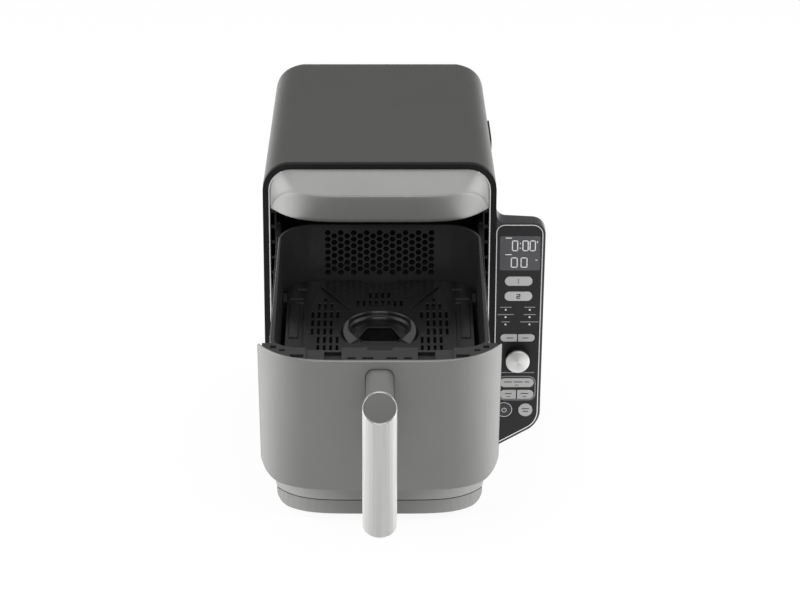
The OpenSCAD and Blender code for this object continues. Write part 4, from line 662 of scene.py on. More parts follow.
def soften(bm, width):
    """Rounds every sharp edge by width millimetres."""
    bmesh.ops.recalc_face_normals(bm, faces=bm.faces)
    edges = [e for e in bm.edges
             if len(e.link_faces) == 2 and e.calc_face_angle() > SHARP_ANGLE]
    bmesh.ops.bevel(bm, geom=edges, offset=width * MM, offset_type="OFFSET", segments=3,
                    profile=0.5, affect="EDGES", clamp_overlap=True, material=-1)
    return bm


def bend_front(bm):
    """Cuts the flat plate into narrow strips and pushes them out along the bulge."""
    for i in range(1, BEND_STEPS):
        cut = FRONT_HALF_W * math.sin(math.pi / 2 * (2.0 * i / BEND_STEPS - 1.0)) * MM
        bmesh.ops.bisect_plane(bm, geom=bm.verts[:] + bm.edges[:] + bm.faces[:],
                               dist=1e-7, plane_co=(cut, 0.0, 0.0),
                               plane_no=(1.0, 0.0, 0.0))
    for vert in bm.verts:
        bulge = bulge_at(vert.co.x / MM, FRONT_HALF_W)
        vert.co.y = min(vert.co.y - bulge * MM, FRONT_BACK_Y * MM)
    return bm


print("strips in a bent front:", BEND_STEPS)

# %% [markdown]
# Each drawer front has a slot near its top, through which the handle's neck comes out with
# a narrow gap all round. The slot is cut while the plate is flat. After the bend the front
# gets a touch wider towards its top, as the real one does.

# %% Drawer fronts
FRONT_TOP_Z, FRONT_T = 333.8, 3.0
FRONT_LOW_R, FRONT_TOP_R, FRONT_TAPER = 17.0, 1.5, 0.018
NECK_HALF_W, NECK_TOP_Z, NECK_LOW_Z, NECK_R = 12.8, 325.4, 283.0, 8.0
NECK_GAP, SLOT_DEPTH = 0.5, 30.0
for level in LEVELS:
    plate = front_slab(outline(box_corners(-FRONT_EDGE_X, FRONT_Z, FRONT_EDGE_X, FRONT_TOP_Z,
                                           FRONT_LOW_R, FRONT_TOP_R), 10), 0.0, FRONT_T)
    slot = slab_cutter(0.0, 0.0, (NECK_TOP_Z + NECK_LOW_Z) / 2, 2 * (NECK_HALF_W + NECK_GAP),
                       NECK_TOP_Z - NECK_LOW_Z + 2 * NECK_GAP, SLOT_DEPTH,
                       NECK_R + NECK_GAP, "Y", 8)
    plate = bend_front(carve(soften(plate, 1.0), slot))
    for vert in plate.verts:
        height = (vert.co.z / MM - FRONT_Z) / (FRONT_TOP_Z - FRONT_Z)
        vert.co.x *= 1.0 + FRONT_TAPER * (height - 0.5)
    to_level(plate, level)
    finish_piece(f"{level}_drawer_front", plate, front_lacquer, f"{level}_drawer",
                 [f"{level}_front"])

# %% [markdown]
# The fixed front below the drawers is the same kind of plate. Its lower corners are cut off
# and rounded, where the machine narrows towards the plinth.

# %% Fixed base front
BASE_LOW_X, BASE_LOW_Z, BASE_SIDE_Z, BASE_TOP_Z = 107.0, 24.0, 41.0, 58.0
base_points = outline([(-BASE_LOW_X, BASE_LOW_Z, 1.0), (BASE_LOW_X, BASE_LOW_Z, 1.0),
                       (FRONT_EDGE_X, BASE_SIDE_Z, 20.0), (FRONT_EDGE_X, BASE_TOP_Z, 1.0),
                       (-FRONT_EDGE_X, BASE_TOP_Z, 1.0), (-FRONT_EDGE_X, BASE_SIDE_Z, 20.0)],
                      6)
base_band = bend_front(soften(front_slab(base_points, 0.0, FRONT_T), 0.8))
finish_piece("fixed_base_front", base_band, front_lacquer, "housing",
             ["base_front"])

# %% [markdown]
# The handle is a short neck, a tube that is cut slanting at both ends, and a round cap set
# into the upper cut. Slicing a plain tube with a tilted plane gives the true elliptical cut.
# Two helpers do it: one makes an upright bar on the handle's axis, one slices it.


# %% Bars and slanting cuts for the handle
GRIP_R, GRIP_BORE_R, GRIP_OUT = 15.69, 14.6, 68.3
GRIP_Y = -BULGE - GRIP_OUT
GRIP_TOP_Z, GRIP_LOW_Z = 329.6, 207.5
TOP_TILT, LOW_TILT = math.radians(28.9), math.radians(19.3)
BAR_STEPS = 72


def round_bar(radius, z0, z1):
    """An upright tube skin with open ends, on the handle's axis."""
    bm = bmesh.new()
    bmesh.ops.create_circle(bm, segments=BAR_STEPS, radius=radius * MM)
    bmesh.ops.translate(bm, verts=bm.verts, vec=(0.0, GRIP_Y * MM, z0 * MM))
    grown = bmesh.ops.extrude_edge_only(bm, edges=bm.edges[:])
    top = [v for v in grown["geom"] if isinstance(v, bmesh.types.BMVert)]
    bmesh.ops.translate(bm, verts=top, vec=(0.0, 0.0, (z1 - z0) * MM))
    return bm


def tilted(bm, z, tilt, keep_below, fill=False):
    """Cuts everything beyond a plane that falls towards the front from the rear edge."""
    normal = Vector((0.0, -math.sin(tilt), math.cos(tilt)))
    if not keep_below:
        normal = -normal
    cut = bmesh.ops.bisect_plane(bm, geom=bm.verts[:] + bm.edges[:] + bm.faces[:],
                                 dist=1e-7, plane_co=(0.0, (GRIP_Y + GRIP_R) * MM, z * MM),
                                 plane_no=normal, clear_outer=True)
    if fill:
        rim = [e for e in cut["geom_cut"] if isinstance(e, bmesh.types.BMEdge)]
        bmesh.ops.contextual_create(bm, geom=rim)


def open_rim(bm):
    """The edges round an opening."""
    return [e for e in bm.edges if e.is_boundary]


print("handle, mm:", 2 * GRIP_R, "thick,", round(GRIP_TOP_Z - GRIP_LOW_Z, 1), "high")

# %% [markdown]
# The tube is brushed aluminium with a polished lip. From the rim of the upper cut the skin
# turns inwards by the wall, in the plane of the cut, and then down into the bore, which is
# closed further down. The faces within the lip's width of the cut get the polished finish.

# %% Handle tubes
BORE_DEPTH, LIP_REACH, LIP_ROUND = 12.0, 0.7, 0.45
SPARE_ABOVE, SPARE_BELOW = 10.0, 40.0
for level in LEVELS:
    tube = round_bar(GRIP_R, GRIP_LOW_Z - SPARE_BELOW, GRIP_TOP_Z + SPARE_ABOVE)
    tilted(tube, GRIP_TOP_Z, TOP_TILT, True)
    tilted(tube, GRIP_LOW_Z, LOW_TILT, False, fill=True)
    wall = bmesh.ops.extrude_edge_only(tube, edges=open_rim(tube))
    squeeze = GRIP_BORE_R / GRIP_R
    for vert in [v for v in wall["geom"] if isinstance(v, bmesh.types.BMVert)]:
        vert.co.x *= squeeze
        shift = (vert.co.y - GRIP_Y * MM) * (squeeze - 1.0)
        vert.co.y += shift
        vert.co.z += shift * math.tan(TOP_TILT)
    bore = bmesh.ops.extrude_edge_only(tube, edges=open_rim(tube))
    deep = [v for v in bore["geom"] if isinstance(v, bmesh.types.BMVert)]
    bmesh.ops.translate(tube, verts=deep, vec=(0.0, 0.0, -BORE_DEPTH * MM))
    bmesh.ops.contextual_create(tube, geom=open_rim(tube))
    soften(tube, LIP_ROUND)
    for face in tube.faces:
        y, z = face.calc_center_median().y / MM, face.calc_center_median().z / MM
        above = ((z - GRIP_TOP_Z) * math.cos(TOP_TILT)
                 - (y - GRIP_Y - GRIP_R) * math.sin(TOP_TILT))
        face.material_index = int(-LIP_REACH < above < LIP_REACH)
    to_level(tube, level)
    tube_piece = finish_piece(f"{level}_handle_tube", tube, anodised, f"{level}_drawer",
                              [f"{level}_grip"])
    tube_piece.data.materials.append(lip_polish)

# %% [markdown]
# The cap is a thick disc with a softened edge, sliced at the same angle and set a little
# below the lip. The neck is a bar with rounded corners. Its front end is hollowed by the
# tube's own round, so it sits close against the tube.

# %% Handle caps and necks
CAP_RECESS, CAP_T, CAP_EDGE, FIT_GAP = 0.4, 3.0, 0.5, 0.15
CAP_STOCK, SADDLE_SPARE = 60.0, 5.0
for level in LEVELS:
    disc = round_bar(GRIP_BORE_R - FIT_GAP, GRIP_TOP_Z - CAP_STOCK,
                     GRIP_TOP_Z + SPARE_ABOVE)
    tilted(disc, GRIP_TOP_Z - CAP_RECESS, TOP_TILT, True, fill=True)
    tilted(disc, GRIP_TOP_Z - CAP_RECESS - CAP_T, TOP_TILT, False, fill=True)
    soften(disc, CAP_EDGE)
    to_level(disc, level)
    finish_piece(f"{level}_handle_cap", disc, cap_lacquer, f"{level}_drawer",
                 [f"{level}_cap"])

    neck = front_slab(outline(box_corners(-NECK_HALF_W, NECK_LOW_Z, NECK_HALF_W, NECK_TOP_Z,
                                          NECK_R, NECK_R), 8), GRIP_Y, FRONT_T - BULGE)
    saddle = round_bar(GRIP_R + FIT_GAP, NECK_LOW_Z - SADDLE_SPARE,
                       NECK_TOP_Z + SADDLE_SPARE)
    middle_z = (NECK_LOW_Z + NECK_TOP_Z) / 2 * MM
    for upper in (False, True):
        bmesh.ops.contextual_create(saddle, geom=[
            e for e in open_rim(saddle) if (e.verts[0].co.z > middle_z) == upper])
    neck = carve(neck, saddle)
    to_level(neck, level)
    finish_piece(f"{level}_handle_neck", neck, front_lacquer, f"{level}_drawer",
                 [f"{level}_neck"])

# %% [markdown]
# The pan is deep drawn from sheet: a flat floor, a soft heel, walls that open slightly
# upwards and a thin flange. One function gives its outline at a height; the lists of
# outlines then run from the flange down to the floor, once inside and once outside.


# %% Pan outlines
PAN_HALF_W, PAN_Y0, PAN_Y1, RIM_Z = 99.4, -4.0, 286.0, 328.0
PAN_FRONT_R, PAN_REAR_R = 25.0, 37.0
PAN_WALL, PAN_FLOOR_Z = 1.4, 237.4
PAN_DRAFT, DRAFT_TOP_Z, DRAFT_LOW_Z = 4.0, 300.0, 248.0
FLANGE, FLANGE_T, FLANGE_AHEAD, FLANGE_BEHIND = 2.9, 1.5, 0.8, 0.2
HEEL, HEEL_STEPS = 9.0, 6


def pan_loop(z, inset, flange=0.0):
    """The pan's outline at a height, drawn in by inset and out by the flange.

    The flange is full at the sides, a little less in front and narrow at the back.
    """
    front = PAN_HALF_W - inset + flange
    rear = PAN_HALF_W - inset + flange * FLANGE_BEHIND
    y0 = PAN_Y0 + inset - flange * FLANGE_AHEAD
    y1 = PAN_Y1 - inset + flange * FLANGE_BEHIND
    r0 = max(PAN_FRONT_R - inset + flange * FLANGE_AHEAD, 3.0)
    r1 = max(PAN_REAR_R - inset, 5.0)
    return [(x, y, z) for x, y in outline(
        [(-front, y0, r0), (front, y0, r0), (rear, y1, r1), (-rear, y1, r1)], 12)]


def heel_loops(floor_z, inset, radius):
    """The round between the wall and the floor, in a few steps down."""
    turns = [math.pi / 2 * i / HEEL_STEPS for i in range(1, HEEL_STEPS + 1)]
    return [pan_loop(floor_z + radius * (1.0 - math.sin(a)),
                     inset + radius * (1.0 - math.cos(a))) for a in turns]


pan_inside = [pan_loop(RIM_Z - FLANGE_T, 0.0, FLANGE), pan_loop(RIM_Z - 0.35, 0.0, FLANGE),
              pan_loop(RIM_Z, 0.3, FLANGE), pan_loop(RIM_Z, 0.9, 0.3),
              pan_loop(RIM_Z - 0.5, PAN_WALL), pan_loop(DRAFT_TOP_Z, PAN_WALL),
              pan_loop(DRAFT_LOW_Z, PAN_WALL + PAN_DRAFT)]
pan_inside += heel_loops(PAN_FLOOR_Z, PAN_WALL + PAN_DRAFT, HEEL)
pan_outside = [pan_loop(RIM_Z - FLANGE_T, 0.0, FLANGE), pan_loop(RIM_Z - FLANGE_T, 0.0),
               pan_loop(DRAFT_TOP_Z, 0.0), pan_loop(DRAFT_LOW_Z, PAN_DRAFT)]
pan_outside += heel_loops(PAN_FLOOR_Z - PAN_WALL, PAN_DRAFT, HEEL + 1.0)
print("pan outlines:", len(pan_inside), "inside,", len(pan_outside), "outside")

# %% [markdown]
# The two skins meet at the flange and close the pan. The honeycomb in its rear wall is cut
# by a boolean with one small hexagonal bar per hole, because there the holes are real. The
# bars stand in columns, and every second column is one hole shorter.


# %% Pans
HEX_COLUMNS, HEX_ROWS = 17, 7
HEX_COLUMN_PITCH, HEX_ROW_PITCH, HEX_R = 6.5, 7.1, 3.175
HEX_MID_Z, HEX_DEPTH = 298.0, 20.0


def joined(parts):
    """One bmesh out of several."""
    whole = bmesh.new()
    for part in parts:
        mesh = bpy.data.meshes.new("part")
        part.to_mesh(mesh)
        part.free()
        whole.from_mesh(mesh)
        bpy.data.meshes.remove(mesh)
    return whole


def honeycomb():
    """One six-sided bar through the rear wall for each hole."""
    bars = []
    for i in range(HEX_COLUMNS):
        count = HEX_ROWS - i % 2
        for row in range(count):
            place = ((i - (HEX_COLUMNS - 1) / 2) * HEX_COLUMN_PITCH * MM, PAN_Y1 * MM,
                     (HEX_MID_Z + (row - (count - 1) / 2) * HEX_ROW_PITCH) * MM)
            bar = bmesh.new()
            bmesh.ops.create_cone(bar, cap_ends=True, segments=6, radius1=HEX_R * MM,
                                  radius2=HEX_R * MM, depth=HEX_DEPTH * MM,
                                  matrix=Matrix.Translation(place)
                                  @ Matrix.Rotation(math.pi / 2, 4, "X")
                                  @ Matrix.Rotation(math.pi / 6, 4, "Z"))
            bars.append(bar)
    return bars


for level in LEVELS:
    pan = joined([loft(pan_inside, False, True), loft(pan_outside, False, True)])
    bmesh.ops.remove_doubles(pan, verts=pan.verts, dist=MERGE)
    bars = honeycomb()
    print(level, "pan holes:", len(bars))
    pan = carve(pan, joined(bars))
    to_level(pan, level)
    finish_piece(f"{level}_pan_shell", pan, pan_coating, f"{level}_drawer",
                 [f"{level}_pan"])

# %% [markdown]
# The control pod hangs on the right side of the rim. Seen from the front its top runs into
# the rim with a small hollow curve, its upper corner is round and its lower right corner is
# a wide arc that leads into a slanting edge. One outline with a radius for each corner gives
# all of that. The back is drawn forward towards the outer side, so the pod gets thinner
# there, and a shallow pocket in its face takes the printed panel.

# %% Control pod
POD_X = 117.9
pod_corners = [(POD_X, 66.0, 0.0), (165.7, 94.0, 24.0), (167.9, 321.0, 13.0),
               (118.6, 321.0, 9.0), (POD_X, 331.5, 0.0)]
pocket_corners = [(117.85, 68.6, 0.3), (163.4, 95.3, 21.7), (165.6, 318.7, 10.7),
                  (117.85, 318.7, 8.7)]
POD_DEPTH, POD_SIDE_DEPTH, POD_W, POD_EDGE = 21.0, 14.5, 50.0, 1.1
POCKET_FROM_Y, POCKET_DEPTH = -5.0, 2.6
pod = soften(front_slab(outline(pod_corners, 10), 0.0, POD_DEPTH), POD_EDGE)
for vert in pod.verts:
    if vert.co.y > POD_DEPTH / 2 * MM:
        vert.co.y -= (POD_DEPTH - POD_SIDE_DEPTH) * (vert.co.x / MM - POD_X) / POD_W * MM
pocket = front_slab(outline(pocket_corners, 10), POCKET_FROM_Y, POCKET_DEPTH)
pod = carve(pod, pocket)
finish_piece("pod_casing", pod, pod_abs, "housing", ["pod_shell"])

# %% [markdown]
# The marks on the panel are screen printed or lit from behind. They have almost no
# thickness, so each set is a group of small rounded plates a tenth of a millimetre thick,
# laid on the face that carries them. Rings and borders are made the same way: a ring is a
# small section spun round, and a border is a loop drawn in by its own width.


# %% Helpers for printed marks
MARK_T, MARK_SINK = 0.1, 0.02
PANEL_Y, KEY_Y, DISPLAY_Y = 0.0, -1.0, 0.1


def marks(name, bars, face_y, material, body="housing"):
    """Thin plates (x, z, width, height) on the face at face_y, one piece in all."""
    parts = []
    for x, z, w, h in bars:
        r = min(w, h) * 0.45
        plate = outline(box_corners(-w / 2, -h / 2, w / 2, h / 2, r, r), 3)
        parts.append(front_slab([(x + a, z + b) for a, b in plate], face_y - MARK_T,
                                face_y + MARK_SINK))
    finish_piece(name, joined(parts), material, body)


def ring_mark(name, x, z, r, t, face_y, material, body="housing", gap=0.0):
    """A thin printed ring, with an opening at its top if a gap angle is given."""
    strip = bmesh.new()
    front, back = face_y - MARK_T, face_y + MARK_SINK
    corners = [strip.verts.new((radius * MM * math.sin(gap), y * MM,
                                radius * MM * math.cos(gap)))
               for radius, y in ((r - t / 2, front), (r + t / 2, front),
                                 (r + t / 2, back), (r - t / 2, back))]
    face = strip.faces.new(corners)
    bmesh.ops.spin(strip, geom=[face] + strip.edges[:] + strip.verts[:], cent=(0, 0, 0),
                   axis=(0, 1, 0), angle=2 * (math.pi - gap), steps=40,
                   use_merge=gap == 0.0, use_duplicate=False)
    bmesh.ops.translate(strip, verts=strip.verts, vec=(x * MM, 0.0, z * MM))
    finish_piece(name, strip, material, body)


def border(name, x0, z0, x1, z1, r, t, face_y, material):
    """A thin printed line of width t round a rounded field."""
    def edge(inset, y):
        """One loop of the line, drawn in by inset, at the depth y."""
        return [(x, y, z) for x, z in outline(box_corners(
            x0 + inset, z0 + inset, x1 - inset, z1 - inset, r - inset, r - inset), 6)]
    front, back = face_y - MARK_T, face_y + MARK_SINK
    line = loft([edge(0.0, front), edge(t, front), edge(t, back), edge(0.0, back),
                 edge(0.0, front)], False, False)
    finish_piece(name, line, material, "housing")


print("a mark stands out by, mm:", MARK_T)

# %% [markdown]
# The display shows two rows of figures, built from the seven bars that such a display has,
# with a colon in the upper row. Small dashes stand for the units and headings beside them.
# All marks on the pod take their place across from the middle of the dial.


# %% Display figures
dial_low, dial_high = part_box("dial_knob")
MID_X = to_hundredths((dial_low.x + dial_high.x) / 2 + BODY_X * MM)[0]
SEGMENTS = {"0": "abcdef", "1": "bc", "2": "abged"}


def figure(digit, x, z, w, h, t):
    """The lit bars of one digit as (x, z, width, height), centred on x, z."""
    side, quarter, end = w / 2 - t / 2, h / 4, h / 2 - t / 2
    places = {"a": (0, end, w, t), "g": (0, 0, w, t), "d": (0, -end, w, t),
              "b": (side, quarter, t, h / 2), "c": (side, -quarter, t, h / 2),
              "f": (-side, quarter, t, h / 2), "e": (-side, -quarter, t, h / 2)}
    return [(x + a, z + b, c, d) for a, b, c, d in (places[k] for k in SEGMENTS[digit])]


clock = []
for place in (-4.3, 6.3, 13.6):
    clock += figure("0", MID_X + place, 295.4, 6.3, 11.8, 1.0)
clock += [(MID_X + 1.0, 298.0, 1.2, 1.2), (MID_X + 1.0, 292.8, 1.2, 1.2)]
for place in (-4.8, 5.1):
    clock += figure("0", MID_X + place, 276.8, 7.0, 11.4, 1.0)
marks("display_figures", clock, DISPLAY_Y, lamp_plastic)
marks("display_units", [(MID_X - 10.8, 304.0, 6.6, 1.0), (MID_X - 10.8, 285.6, 6.6, 1.0),
                        (MID_X + 18.4, 299.5, 0.9, 2.2), (MID_X + 17.6, 279.5, 2.2, 1.0)],
      DISPLAY_Y, print_white)

# %% [markdown]
# Under the display stand the zone keys with their figures, three rows of two lamps with a
# dash over each for the programme's name, and the keys for temperature and time. A mark on
# a key rides on that key, so it moves when the key is pressed.

# %% Zone figures, lamps and their dashes
marks("zone_one_figure", figure("1", MID_X - 1.1, 256.4, 3.4, 5.4, 1.6), KEY_Y, print_grey,
      "zone_one_key")
marks("zone_two_figure", figure("2", MID_X, 239.5, 4.0, 5.4, 1.1), KEY_Y, print_dark,
      "zone_two_key")
lamps, captions = [], []
for x, widths in ((-12.6, (12.0, 17.0, 8.5)), (11.9, (11.0, 12.5, 19.0))):
    for z, width in zip((223.9, 215.7, 207.4), widths):
        lamps.append((MID_X + x, z, 1.9, 1.9))
        captions.append((MID_X + x, z + 2.9, width, 1.0))
marks("programme_lamps", lamps, PANEL_Y, lamp_plastic)
marks("programme_captions", captions, PANEL_Y, print_grey)
marks("temperature_dash", [(MID_X - 8.0, 192.5, 7.0, 0.9)], KEY_Y, print_dark,
      "temperature_key")
marks("time_dash", [(MID_X + 8.0, 192.5, 6.0, 0.9)], KEY_Y, print_dark, "time_key")

# %% [markdown]
# Below the dial, a printed line frames the three keys that run both zones, and their dashes
# stand in two lines as the words on such keys do. The power key carries its usual sign, a
# broken ring with a bar, inside a printed ring, and the start key has two dashes.

# %% Marks below the dial
marks("setting_captions", [(MID_X - 9.4, 152.6, 13.0, 1.0), (MID_X + 8.6, 152.6, 18.5, 1.0)],
      PANEL_Y, print_grey)
marks("both_zones_dash", [(MID_X - 9.0, 142.2, 8.0, 1.0), (MID_X + 1.5, 142.2, 9.0, 1.0),
                          (MID_X + 10.5, 142.2, 5.0, 1.0), (MID_X, 138.6, 4.0, 0.7)],
      KEY_Y, print_dark, "both_zones_key")
marks("sync_dash", [(MID_X - 8.4, 128.9, 7.0, 1.0), (MID_X - 8.4, 125.4, 4.0, 0.7)], KEY_Y,
      print_dark, "sync_key")
marks("match_dash", [(MID_X + 8.4, 128.9, 8.0, 1.0), (MID_X + 8.4, 125.4, 4.0, 0.7)], KEY_Y,
      print_dark, "match_key")
border("key_group_border", MID_X - 19.6, 120.6, MID_X + 19.6, 148.6, 7.4, 1.0, PANEL_Y,
       print_grey)
POWER_X, START_X, ROUND_Z = MID_X - 12.5, MID_X + 9.5, 109.8
ring_mark("power_icon_ring", POWER_X, ROUND_Z, 2.3, 0.6, KEY_Y, print_white, "power_key",
          gap=0.55)
marks("power_icon_bar", [(POWER_X, ROUND_Z + 1.9, 0.6, 2.6)], KEY_Y, print_white,
      "power_key")
ring_mark("power_ring", POWER_X, ROUND_Z, 8.0, 0.6, PANEL_Y, print_white)
marks("start_dashes", [(START_X, ROUND_Z + 1.5, 8.0, 1.0), (START_X, ROUND_Z - 1.5, 6.0, 1.0)],
      KEY_Y, print_dark, "start_key")

# %% [markdown]
# The dial is turned on a lathe, so a half section spun round its axis is the true way to
# make it. It has two parts: a black skirt, drawn in at its foot, and a cap with a softened
# edge. A dark ring lies on the panel round the dial's foot.


# %% Dial
DIAL_X = MID_X
DIAL_Z, DIAL_R, DIAL_FACE_Y = to_hundredths(
    (dial_low.z + dial_high.z) / 2, (dial_high.x - dial_low.x) / 2,
    dial_low.y + BODY_Y * MM)
CAP_Y, SKIRT_R, FOOT_R, FOOT_Y = -11.6, DIAL_R - 0.1, DIAL_R - 0.6, -1.2
face_profile = [(0.0, DIAL_FACE_Y), (DIAL_R - 1.2, DIAL_FACE_Y), (DIAL_R - 0.3, -13.5),
                (DIAL_R, -12.6), (DIAL_R, CAP_Y), (0.0, CAP_Y)]
skirt_profile = [(0.0, CAP_Y), (SKIRT_R, CAP_Y), (SKIRT_R, -4.0), (FOOT_R, -3.4),
                 (FOOT_R, FOOT_Y), (0.0, FOOT_Y)]


def turned(profile):
    """A closed solid of revolution round the dial's axis, from (radius, y) points."""
    bm = bmesh.new()
    verts = [bm.verts.new((r * MM, y * MM, 0.0)) for r, y in profile]
    for a, b in zip(verts, verts[1:]):
        bm.edges.new((a, b))
    bmesh.ops.spin(bm, geom=bm.verts[:] + bm.edges[:], cent=(0, 0, 0), axis=(0, 1, 0),
                   angle=2 * math.pi, steps=72, use_merge=True, use_duplicate=False)
    bmesh.ops.translate(bm, verts=bm.verts, vec=(DIAL_X * MM, 0.0, DIAL_Z * MM))
    return bm


ring_mark("dial_foot_dark_ring", DIAL_X, DIAL_Z, 13.4, 1.0, PANEL_Y, plain_black)
finish_piece("dial_skirt", turned(skirt_profile), rim_abs, "dial",
             ["dial_knob"])

# %% [markdown]
# The cap is spun aluminium. Its turning marks are circles too fine to draw one by one.
# Under a lamp such marks show two bright wedges that face each other. Here those wedges are
# painted sheen: the base colour brightens and darkens twice on its way round the axis. The
# angle comes from the X and Z object coordinates, so the painted sheen is fixed to the cap
# and turns with the dial.

# %% Spun finish with painted sheen, and dial cap
# The cap's bright and dark wedges are painted sheen: these set how far its base colour is
# scaled up and down round the axis.
PAINTED_SHEEN_LOW, PAINTED_SHEEN_HIGH, PAINTED_SHEEN_TURN = 0.78, 1.1, -0.7
spun = surface("spun_aluminium_painted_sheen", "#dcdcda", 0.36, 0.75, dark="#d0d0ce", grain_mm=1.0)
spun_place = add_node(spun, "ShaderNodeTexCoord")
spun_axes = add_node(spun, "ShaderNodeSeparateXYZ", {"Vector": spun_place.outputs["Object"]})
across = add_node(spun, "ShaderNodeMath",
                  {0: spun_axes.outputs["X"], 1: (DIAL_X - BODY_X) * MM},
                  operation="SUBTRACT")
upwards = add_node(spun, "ShaderNodeMath", {0: spun_axes.outputs["Z"], 1: DIAL_Z * MM},
                   operation="SUBTRACT")
around = add_node(spun, "ShaderNodeMath",
                  {0: upwards.outputs["Value"], 1: across.outputs["Value"]},
                  operation="ARCTAN2")
doubled = add_node(spun, "ShaderNodeMath",
                   {0: around.outputs["Value"], 1: 2.0, 2: PAINTED_SHEEN_TURN},
                   operation="MULTIPLY_ADD")
wave = add_node(spun, "ShaderNodeMath", {0: doubled.outputs["Value"]}, operation="COSINE")
sheen = add_node(spun, "ShaderNodeMapRange",
                 {"Value": wave.outputs["Value"], "From Min": -1.0, "From Max": 1.0,
                  "To Min": PAINTED_SHEEN_LOW, "To Max": PAINTED_SHEEN_HIGH})
spun_shader = next(node for node in spun.node_tree.nodes
                   if node.bl_idname == "ShaderNodeBsdfPrincipled")
plain_tint = spun_shader.inputs["Base Color"].links[0].from_socket
# The painted sheen scales the cap's base colour, so the wedges are painted light and not lit by
# the lamps.
painted_sheen_tint = add_node(spun, "ShaderNodeVectorMath",
                   {0: plain_tint, "Scale": sheen.outputs["Result"]}, operation="SCALE")
spun.node_tree.links.new(painted_sheen_tint.outputs["Vector"], spun_shader.inputs["Base Color"])
finish_piece("dial_cap", turned(face_profile), spun, "dial", ["dial_knob"])

# %% [markdown]
# The machine stands on one large sheet, wide enough that its edge lies far behind. It is
# flat, so a grid of a single cell will do. The sheet belongs to the stage and not to the
# machine.

# %% Floor sheet
FLOOR_HALF = 6.0
floor_bm = bmesh.new()
bmesh.ops.create_grid(floor_bm, x_segments=1, y_segments=1, size=FLOOR_HALF)
floor_mesh = bpy.data.meshes.new("floor")
floor_bm.to_mesh(floor_mesh)
floor_bm.free()
floor = bpy.data.objects.new("floor", floor_mesh)
bpy.context.scene.collection.objects.link(floor)
print("floor, m:", 2 * FLOOR_HALF)

# %% [markdown]
# The sheet is plain and pale. What lies on it must throw a soft shadow, so part of what the
# camera sees is a true matt surface, and the rest is an even white. Where a shiny piece
# mirrors the floor, it sees that sheet dim straight ahead of the machine and bright towards
# the sides, as in a studio with a dark gap in front and white screens beside it. The bearing
# from a point just before the rim, 0 ahead and 1 aside, decides how bright. The paint tells
# these cases apart by the kind of ray that has come.

# %% Floor paint
SEEN_WHITE, CAMERA_SHARE = 1.03, 0.88
AHEAD_GLOW, ASIDE_GLOW = 0.7, 2.3
BEARING_Y, DIM_UNTIL, BRIGHT_FROM = 0.03, 0.2, 0.97
floor_paint = bpy.data.materials.new("pale_floor")
floor_paint.use_nodes = True
floor_paint.node_tree.nodes.clear()
rays = add_node(floor_paint, "ShaderNodeLightPath")
floor_place = add_node(floor_paint, "ShaderNodeTexCoord")
floor_axes = add_node(floor_paint, "ShaderNodeSeparateXYZ",
                      {"Vector": floor_place.outputs["Object"]})
centred = add_node(floor_paint, "ShaderNodeMath",
                   {0: floor_axes.outputs["X"], 1: BODY_X * MM}, operation="ADD")
aside = add_node(floor_paint, "ShaderNodeMath", {0: centred.outputs["Value"]},
                 operation="ABSOLUTE")
ahead = add_node(floor_paint, "ShaderNodeMath",
                 {0: BEARING_Y, 1: floor_axes.outputs["Y"]}, operation="SUBTRACT")
in_front = add_node(floor_paint, "ShaderNodeMath", {0: ahead.outputs["Value"], 1: 0.001},
                    operation="MAXIMUM")
both = add_node(floor_paint, "ShaderNodeMath",
                {0: aside.outputs["Value"], 1: in_front.outputs["Value"]}, operation="ADD")
bearing = add_node(floor_paint, "ShaderNodeMath",
                   {0: aside.outputs["Value"], 1: both.outputs["Value"]},
                   operation="DIVIDE")
mirrored = add_node(floor_paint, "ShaderNodeMapRange",
                    {"Value": bearing.outputs["Value"], "From Min": DIM_UNTIL,
                     "From Max": BRIGHT_FROM, "To Min": AHEAD_GLOW, "To Max": ASIDE_GLOW},
                    interpolation_type="SMOOTHSTEP")
glow = add_node(floor_paint, "ShaderNodeMix",
                {0: rays.outputs["Is Glossy Ray"], 2: SEEN_WHITE,
                 3: mirrored.outputs["Result"]}, data_type="FLOAT")
matte = add_node(floor_paint, "ShaderNodeBsdfDiffuse", {"Color": linear("#f0f0f0")})
white = add_node(floor_paint, "ShaderNodeEmission",
                 {"Color": (1, 1, 1, 1), "Strength": glow.outputs[0]})
camera_share = add_node(floor_paint, "ShaderNodeMath",
                        {0: rays.outputs["Is Camera Ray"], 1: CAMERA_SHARE},
                        operation="MULTIPLY")
seen = add_node(floor_paint, "ShaderNodeMath",
                {0: camera_share.outputs["Value"], 1: rays.outputs["Is Glossy Ray"]},
                operation="MAXIMUM")
mixed = add_node(floor_paint, "ShaderNodeMixShader",
                 {0: seen.outputs["Value"], 1: matte.outputs["BSDF"],
                  2: white.outputs["Emission"]})
add_node(floor_paint, "ShaderNodeOutputMaterial", {"Surface": mixed.outputs["Shader"]})
floor.data.materials.append(floor_paint)
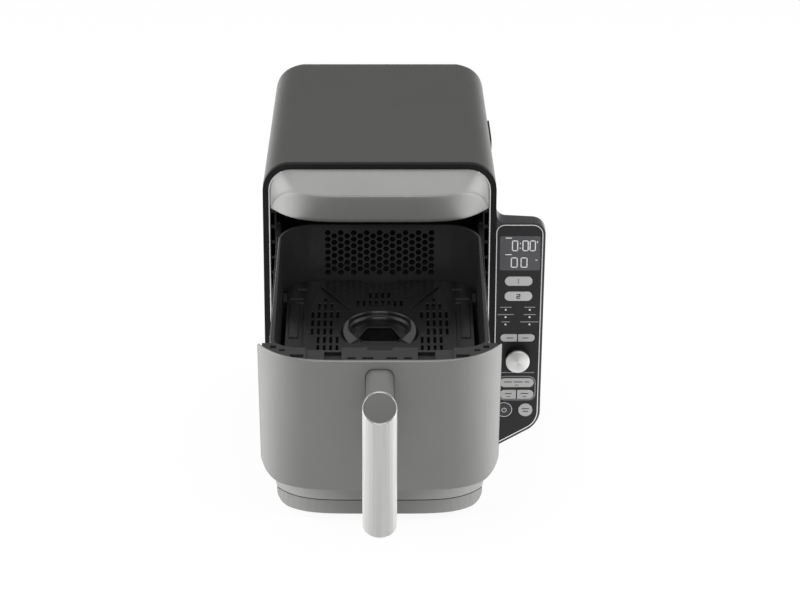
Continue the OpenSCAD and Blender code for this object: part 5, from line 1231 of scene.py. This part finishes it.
print("nodes in the floor's paint:", len(floor_paint.node_tree.nodes))

# %% [markdown]
# Four soft lights. A large one hangs above and a little behind, which the shoulder of the
# fascia mirrors. Two more stand level with the machine's sides, and their reflection makes
# the pale ends of the fronts. The fourth, in front and high up, opens the drawer's
# inside and the middle of the fronts.


# %% Lamps
LIGHT_AIM = (0.0, 0.0, 0.25)


def soft_light(name, place, size, power):
    """A rectangular area light at place (m), turned to the machine's middle."""
    data = bpy.data.lights.new(name, "AREA")
    data.shape = "RECTANGLE"
    data.size, data.size_y = size
    data.energy = power
    lamp = bpy.data.objects.new(name, data)
    lamp.location = place
    aim = Vector(LIGHT_AIM) - Vector(place)
    lamp.rotation_euler = aim.to_track_quat("-Z", "Y").to_euler()
    bpy.context.scene.collection.objects.link(lamp)
    print(f"{name}: {power} W")


soft_light("top_light", (0.0, 0.7, 2.1), (3.0, 1.2), 16.0)
soft_light("left_light", (-1.8, 0.0, 0.95), (1.9, 1.8), 26.0)
soft_light("right_light", (1.8, 0.0, 0.95), (1.9, 1.8), 26.0)
soft_light("front_light", (0.0, -2.4, 1.7), (2.4, 1.4), 30.0)

# %% [markdown]
# The world fills in evenly from all sides at a low level. The camera sees it as white, so
# the background has no edge where the floor ends.

# %% World and view
WORLD_FILL = 0.36
world = bpy.data.worlds.new("studio_world")
bpy.context.scene.world = world
world.use_nodes = True
world.node_tree.nodes.clear()
path = add_node(world, "ShaderNodeLightPath")
either = add_node(world, "ShaderNodeMath",
                  {0: path.outputs["Is Camera Ray"], 1: path.outputs["Is Transmission Ray"]},
                  operation="MAXIMUM")
fill = add_node(world, "ShaderNodeMapRange",
                {"Value": either.outputs["Value"], "To Min": WORLD_FILL, "To Max": 1.0})
background = add_node(world, "ShaderNodeBackground",
                      {"Color": (1.0, 1.0, 1.0, 1.0), "Strength": fill.outputs["Result"]})
add_node(world, "ShaderNodeOutputWorld", {"Surface": background.outputs["Background"]})
bpy.context.scene.view_settings.view_transform = "Standard"
print("view transform:", bpy.context.scene.view_settings.view_transform)
